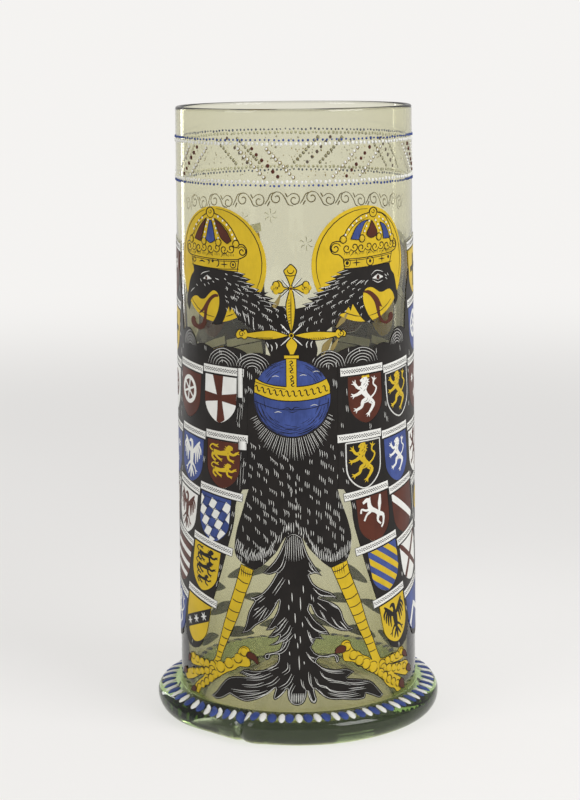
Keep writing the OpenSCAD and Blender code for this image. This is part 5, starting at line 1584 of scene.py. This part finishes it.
    def ring(self, place, colour):
        """A plain ring with a bead in it."""
        middle = place.at([(0, 1.4)])[0]
        self.brushes[colour].ring(middle, 4.6, 1.6)
        self.brushes[colour].dot(*middle, 2.8)

    def stars(self, place, colour, spots=((-4.2, 4.6), (4.2, 4.6), (0, -3.6))):
        """Six-rayed stars."""
        for a, b in spots:
            for k in range(3):
                turn = math.pi * k / 3 + 0.5
                c, n = 2.1 * math.cos(turn), 2.1 * math.sin(turn)
                self.forms(place, colour, [([(a - c, b - n), (a, b), (a + c, b + n)], [0.3, 1.2, 0.3])])

    def lozenges(self, place, colour):
        """Slanting lozenges all over, with dark lines between them."""
        for row in range(-3, 3):
            b = 4.4 * row + 2.4
            for k in range(-3, 4):
                a = 8.4 * k + 4.2 * (row % 2) + 0.45 * b
                if abs(a) < self.half_width(b) + 1.6:
                    self.forms(place, colour, [([(a - 0.9, b - 2.0), (a + 0.9, b + 2.0)], [3.7, 3.7])])
            edge = self.half_width(b + 2.2)
            if edge > 0:
                self.detail(place, [[(-edge, b + 2.2), (edge, b + 2.2)]])
        for k in range(-3, 4):
            a = 4.2 * k + 2.1
            run = [(a + 0.45 * b, b) for b in (-9.6, -6.4, -3.2, 0, 3.2, 6.4, 10.6)]
            run = [p for p in run if abs(p[0]) < self.half_width(p[1])]
            if len(run) > 1:
                self.detail(place, [run])

    def roses(self, place, colour):
        """Three round blossoms."""
        for a, b in ((-3.8, 4.8), (3.8, 4.8), (0, -3)):
            for k in range(5):
                spot = place.at([around((a, b), 1.5, 2 * math.pi * k / 5)])[0]
                self.brushes[colour].dot(*spot, 1.7)


class HUMPEN_OT_shields(bpy.types.Operator):
    """Charges and outlines of the shields, and a running wave on their label strips"""
    bl_idname = "humpen.shields"
    bl_label = "Shields"
    # White, red, blue, gold and black fields: a word for each column from the breast out, read downwards
    left = ("wrbgg", "rbwrb", "rgwbr", "kwrgb", "brgw", "gkwr")
    right = ("rkrbg", "kbrwb", "gbrwk", "rwbgr", "wgkb", "brwg")
    figure_colour = {"w": "red", "r": "white", "b": "white", "g": "black", "k": "yellow"}
    # Charges by side, column and row: those seen in the photograph, and usual ones for the rest
    known = {(-1, 0, 2): "cross", (-1, 0, 3): "lions_two", (-1, 0, 4): "lozenges", (-1, 0, 5): "lions_three",
             (-1, 0, 6): "starred_band", (-1, 1, 2): "wheel", (-1, 1, 3): "eagle", (-1, 1, 4): "eagle",
             (-1, 1, 5): "bars", (-1, 1, 6): "lion", (1, 0, 2): "crowned_lion", (1, 0, 3): "lion",
             (1, 0, 4): "horse", (1, 0, 5): "bendy", (1, 0, 6): "eagle", (1, 1, 2): "lion",
             (1, 1, 3): "small_lion", (1, 1, 4): "bend", (1, 1, 5): "saltire", (1, 1, 6): "chevron"}
    usual = ("chevron", "stars", "bars", "lion", "saltire", "ring", "roses", "bend", "plain_cross", "eagle",
             "wheel")
    wave = 1.25
    other_colour = {(-1, 0, 3): "yellow", (1, 0, 5): "yellow"}
    # Hanging ends of two labels: s, lower and upper end, width
    tails = ((-25.6, 158, 171.2, 2.7), (-24.8, 134.4, 138.4, 4.2))

    def execute(self, context):
        brushes = {colour: Brush(colour + "_charges", colour, COAT, 0.1, sides=2, crisp=True)
                   for colour in ("white", "red", "black", "yellow")}
        brushes["star"] = Brush("pale_stars", "white", COAT + 0.12, 0.06)
        brushes["detail"] = Brush("charge_lines", "black", COAT + 0.1, 0.05)
        charges = Charges(brushes)
        marks = Brush("label_marks", "black", COAT, 0.07)
        self.places = []
        for side, fields in ((-1, self.left), (1, self.right)):
            for k, letters in enumerate(fields):
                for j, letter in enumerate(letters, Place.first_rows[k]):
                    place = Place(side, k, j)
                    for brush in brushes.values():
                        brush.storey = len(self.places)
                    self.places.append(place)
                    spare = self.usual[(3 * k + 2 * j + side + 1) % len(self.usual)]
                    name = self.known.get((side, k, j), spare)
                    colour = self.other_colour.get((side, k, j), self.figure_colour[letter])
                    getattr(charges, name)(place, colour)
                    self.label(marks, place)
        for brush in brushes.values():
            brush.lay(place=self.within)
        edges = Brush("shield_edges", "white", COAT, 0.1)
        edges.trace("black_shields", 0.7)
        for node in ("white_shields", "gold_shields", "label_strips"):
            marks.trace(node, 0.28)
        for s, low, high, wide in self.tails:
            edges.form([(s, high), (s, low)], [wide, wide])
            corners = ((-1, high), (-1, low), (1, low), (1, high), (-1, high))
            marks.line([(s + 0.5 * wide * side, z, 1) for side, z in corners], 0.28, EVEN)
        edges.lay()
        marks.lay()
        return {"FINISHED"}

    def within(self, s, z, height, storey):
        """A wall point, moved to its shield's edge if it lies outside."""
        shield = self.places[storey]
        a, b = shield.local(s, z)
        margin = 0.1
        tall = Charges.half_high - margin
        b = max(-tall, min(tall, b))
        edge = Charges.half_width(b) - margin
        return wall_point(*shield.at([(max(-edge, min(edge, a)), b)])[0], height)

    def label(self, marks, place):
        """A running wave with a dot in each hollow, where a real label has its name."""
        low, high = place.label_ends()
        up = place.label_up
        count = 2 * int((high - low - 2.0) / (2 * self.wave)) + 1
        start = (low + high - self.wave * count) / 2
        crests = [(start + self.wave * k, up + (0.6 if k % 2 else -0.6)) for k in range(count + 1)]
        marks.line(place.at(crests), 0.36, (0.8, 0.8))
        for a, z in crests:
            marks.dot(*place.at([(a, 2 * up - z)])[0], 0.62)


class HUMPEN_OT_far_side(bpy.types.Operator):
    """A running scroll and small blossoms at the back, seen through the glass"""
    bl_idname = "humpen.far_side"
    bl_label = "Far side"
    middle = math.pi * ART_R
    step = 9.0
    scroll_z = 237.6

    def execute(self, context):
        lines = Brush("back_scroll", "gilding", 0.0, 0.1)
        for k in range(-8, 9):
            turn = 1 if k % 2 else -1
            s = self.middle + self.step * k
            z = self.scroll_z + 0.03 * k * k
            lines.curl((s, z + 0.5 * turn), 3.5, 90 + 60 * turn, -1.3 * turn, 0.6)
            lines.line([(s - 3, z + 2.2 * turn), (s - 4.6, z), (s - 6, z - 2.6 * turn),
                        (s - 8.5, z - 3.4 * turn)], 0.6, (0.8, 0.5))
            lines.line([(s + 3.4, z - 0.8 * turn), (s + 4.7, z - 3.1 * turn)], 0.7, (0.9, 0.3))
        lines.lay()
        blossoms = Brush("back_blossoms", "white", 0.0, 0.1)
        for s, z in ((12, 230), (-6, 216), (-26, 229), (27, 229)):
            for k in range(6):
                a = math.pi * k / 3 + 0.3
                c, n = math.cos(a), math.sin(a)
                petal = [(0.8, 0.0), (2.8, 0.7), (3.4, 0.0)]
                blossoms.line([(self.middle + s + far * c - off * n, z + far * n + off * c)
                               for far, off in petal], 0.34)
        blossoms.lay()
        return {"FINISHED"}


# Add-on

class HUMPEN_PT_panel(bpy.types.Panel):
    """Settings of the humpen"""
    bl_idname = "HUMPEN_PT_panel"
    bl_label = "Enamelled Humpen"
    bl_space_type = "VIEW_3D"
    bl_region_type = "UI"
    bl_category = "Humpen"

    def draw(self, context):
        for title, settings, group in (("Glass", context.scene.humpen_glass, HumpenGlass),
                                       ("Enamel", context.scene.humpen_enamel, HumpenEnamel),
                                       ("Stage", context.scene.humpen_stage, HumpenStage)):
            box = self.layout.box()
            box.label(text=title)
            for name in group.__annotations__:
                box.prop(settings, name)
        column = self.layout.column()
        for operator in OPERATORS:
            column.operator(operator.bl_idname)


GROUPS = (HumpenGlass, HumpenEnamel, HumpenStage)
OPERATORS = (HUMPEN_OT_stage, HUMPEN_OT_blown_body, HUMPEN_OT_foot_ring, HUMPEN_OT_foot_dashes,
             HUMPEN_OT_rim_dots, HUMPEN_OT_enamel_coats, HUMPEN_OT_haloes_and_crowns, HUMPEN_OT_heads,
             HUMPEN_OT_cross_and_orb, HUMPEN_OT_plumage, HUMPEN_OT_tail_feathers, HUMPEN_OT_legs,
             HUMPEN_OT_shields, HUMPEN_OT_far_side)


def register():
    for item in GROUPS + OPERATORS + (HUMPEN_PT_panel,):
        bpy.utils.register_class(item)
    bpy.types.Scene.humpen_glass = PointerProperty(type=HumpenGlass)
    bpy.types.Scene.humpen_enamel = PointerProperty(type=HumpenEnamel)
    bpy.types.Scene.humpen_stage = PointerProperty(type=HumpenStage)


def unregister():
    del bpy.types.Scene.humpen_stage
    del bpy.types.Scene.humpen_enamel
    del bpy.types.Scene.humpen_glass
    for item in reversed(GROUPS + OPERATORS + (HUMPEN_PT_panel,)):
        bpy.utils.unregister_class(item)


def main():
    register()
    bpy.ops.humpen.stage()
    bpy.ops.humpen.blown_body()
    bpy.ops.humpen.foot_ring()
    bpy.ops.humpen.foot_dashes()
    bpy.ops.humpen.rim_dots()
    bpy.ops.humpen.enamel_coats()
    bpy.ops.humpen.haloes_and_crowns()
    bpy.ops.humpen.heads()
    bpy.ops.humpen.cross_and_orb()
    bpy.ops.humpen.plumage()
    bpy.ops.humpen.tail_feathers()
    bpy.ops.humpen.legs()
    bpy.ops.humpen.shields()
    bpy.ops.humpen.far_side()


if __name__ == "__main__":
    main()
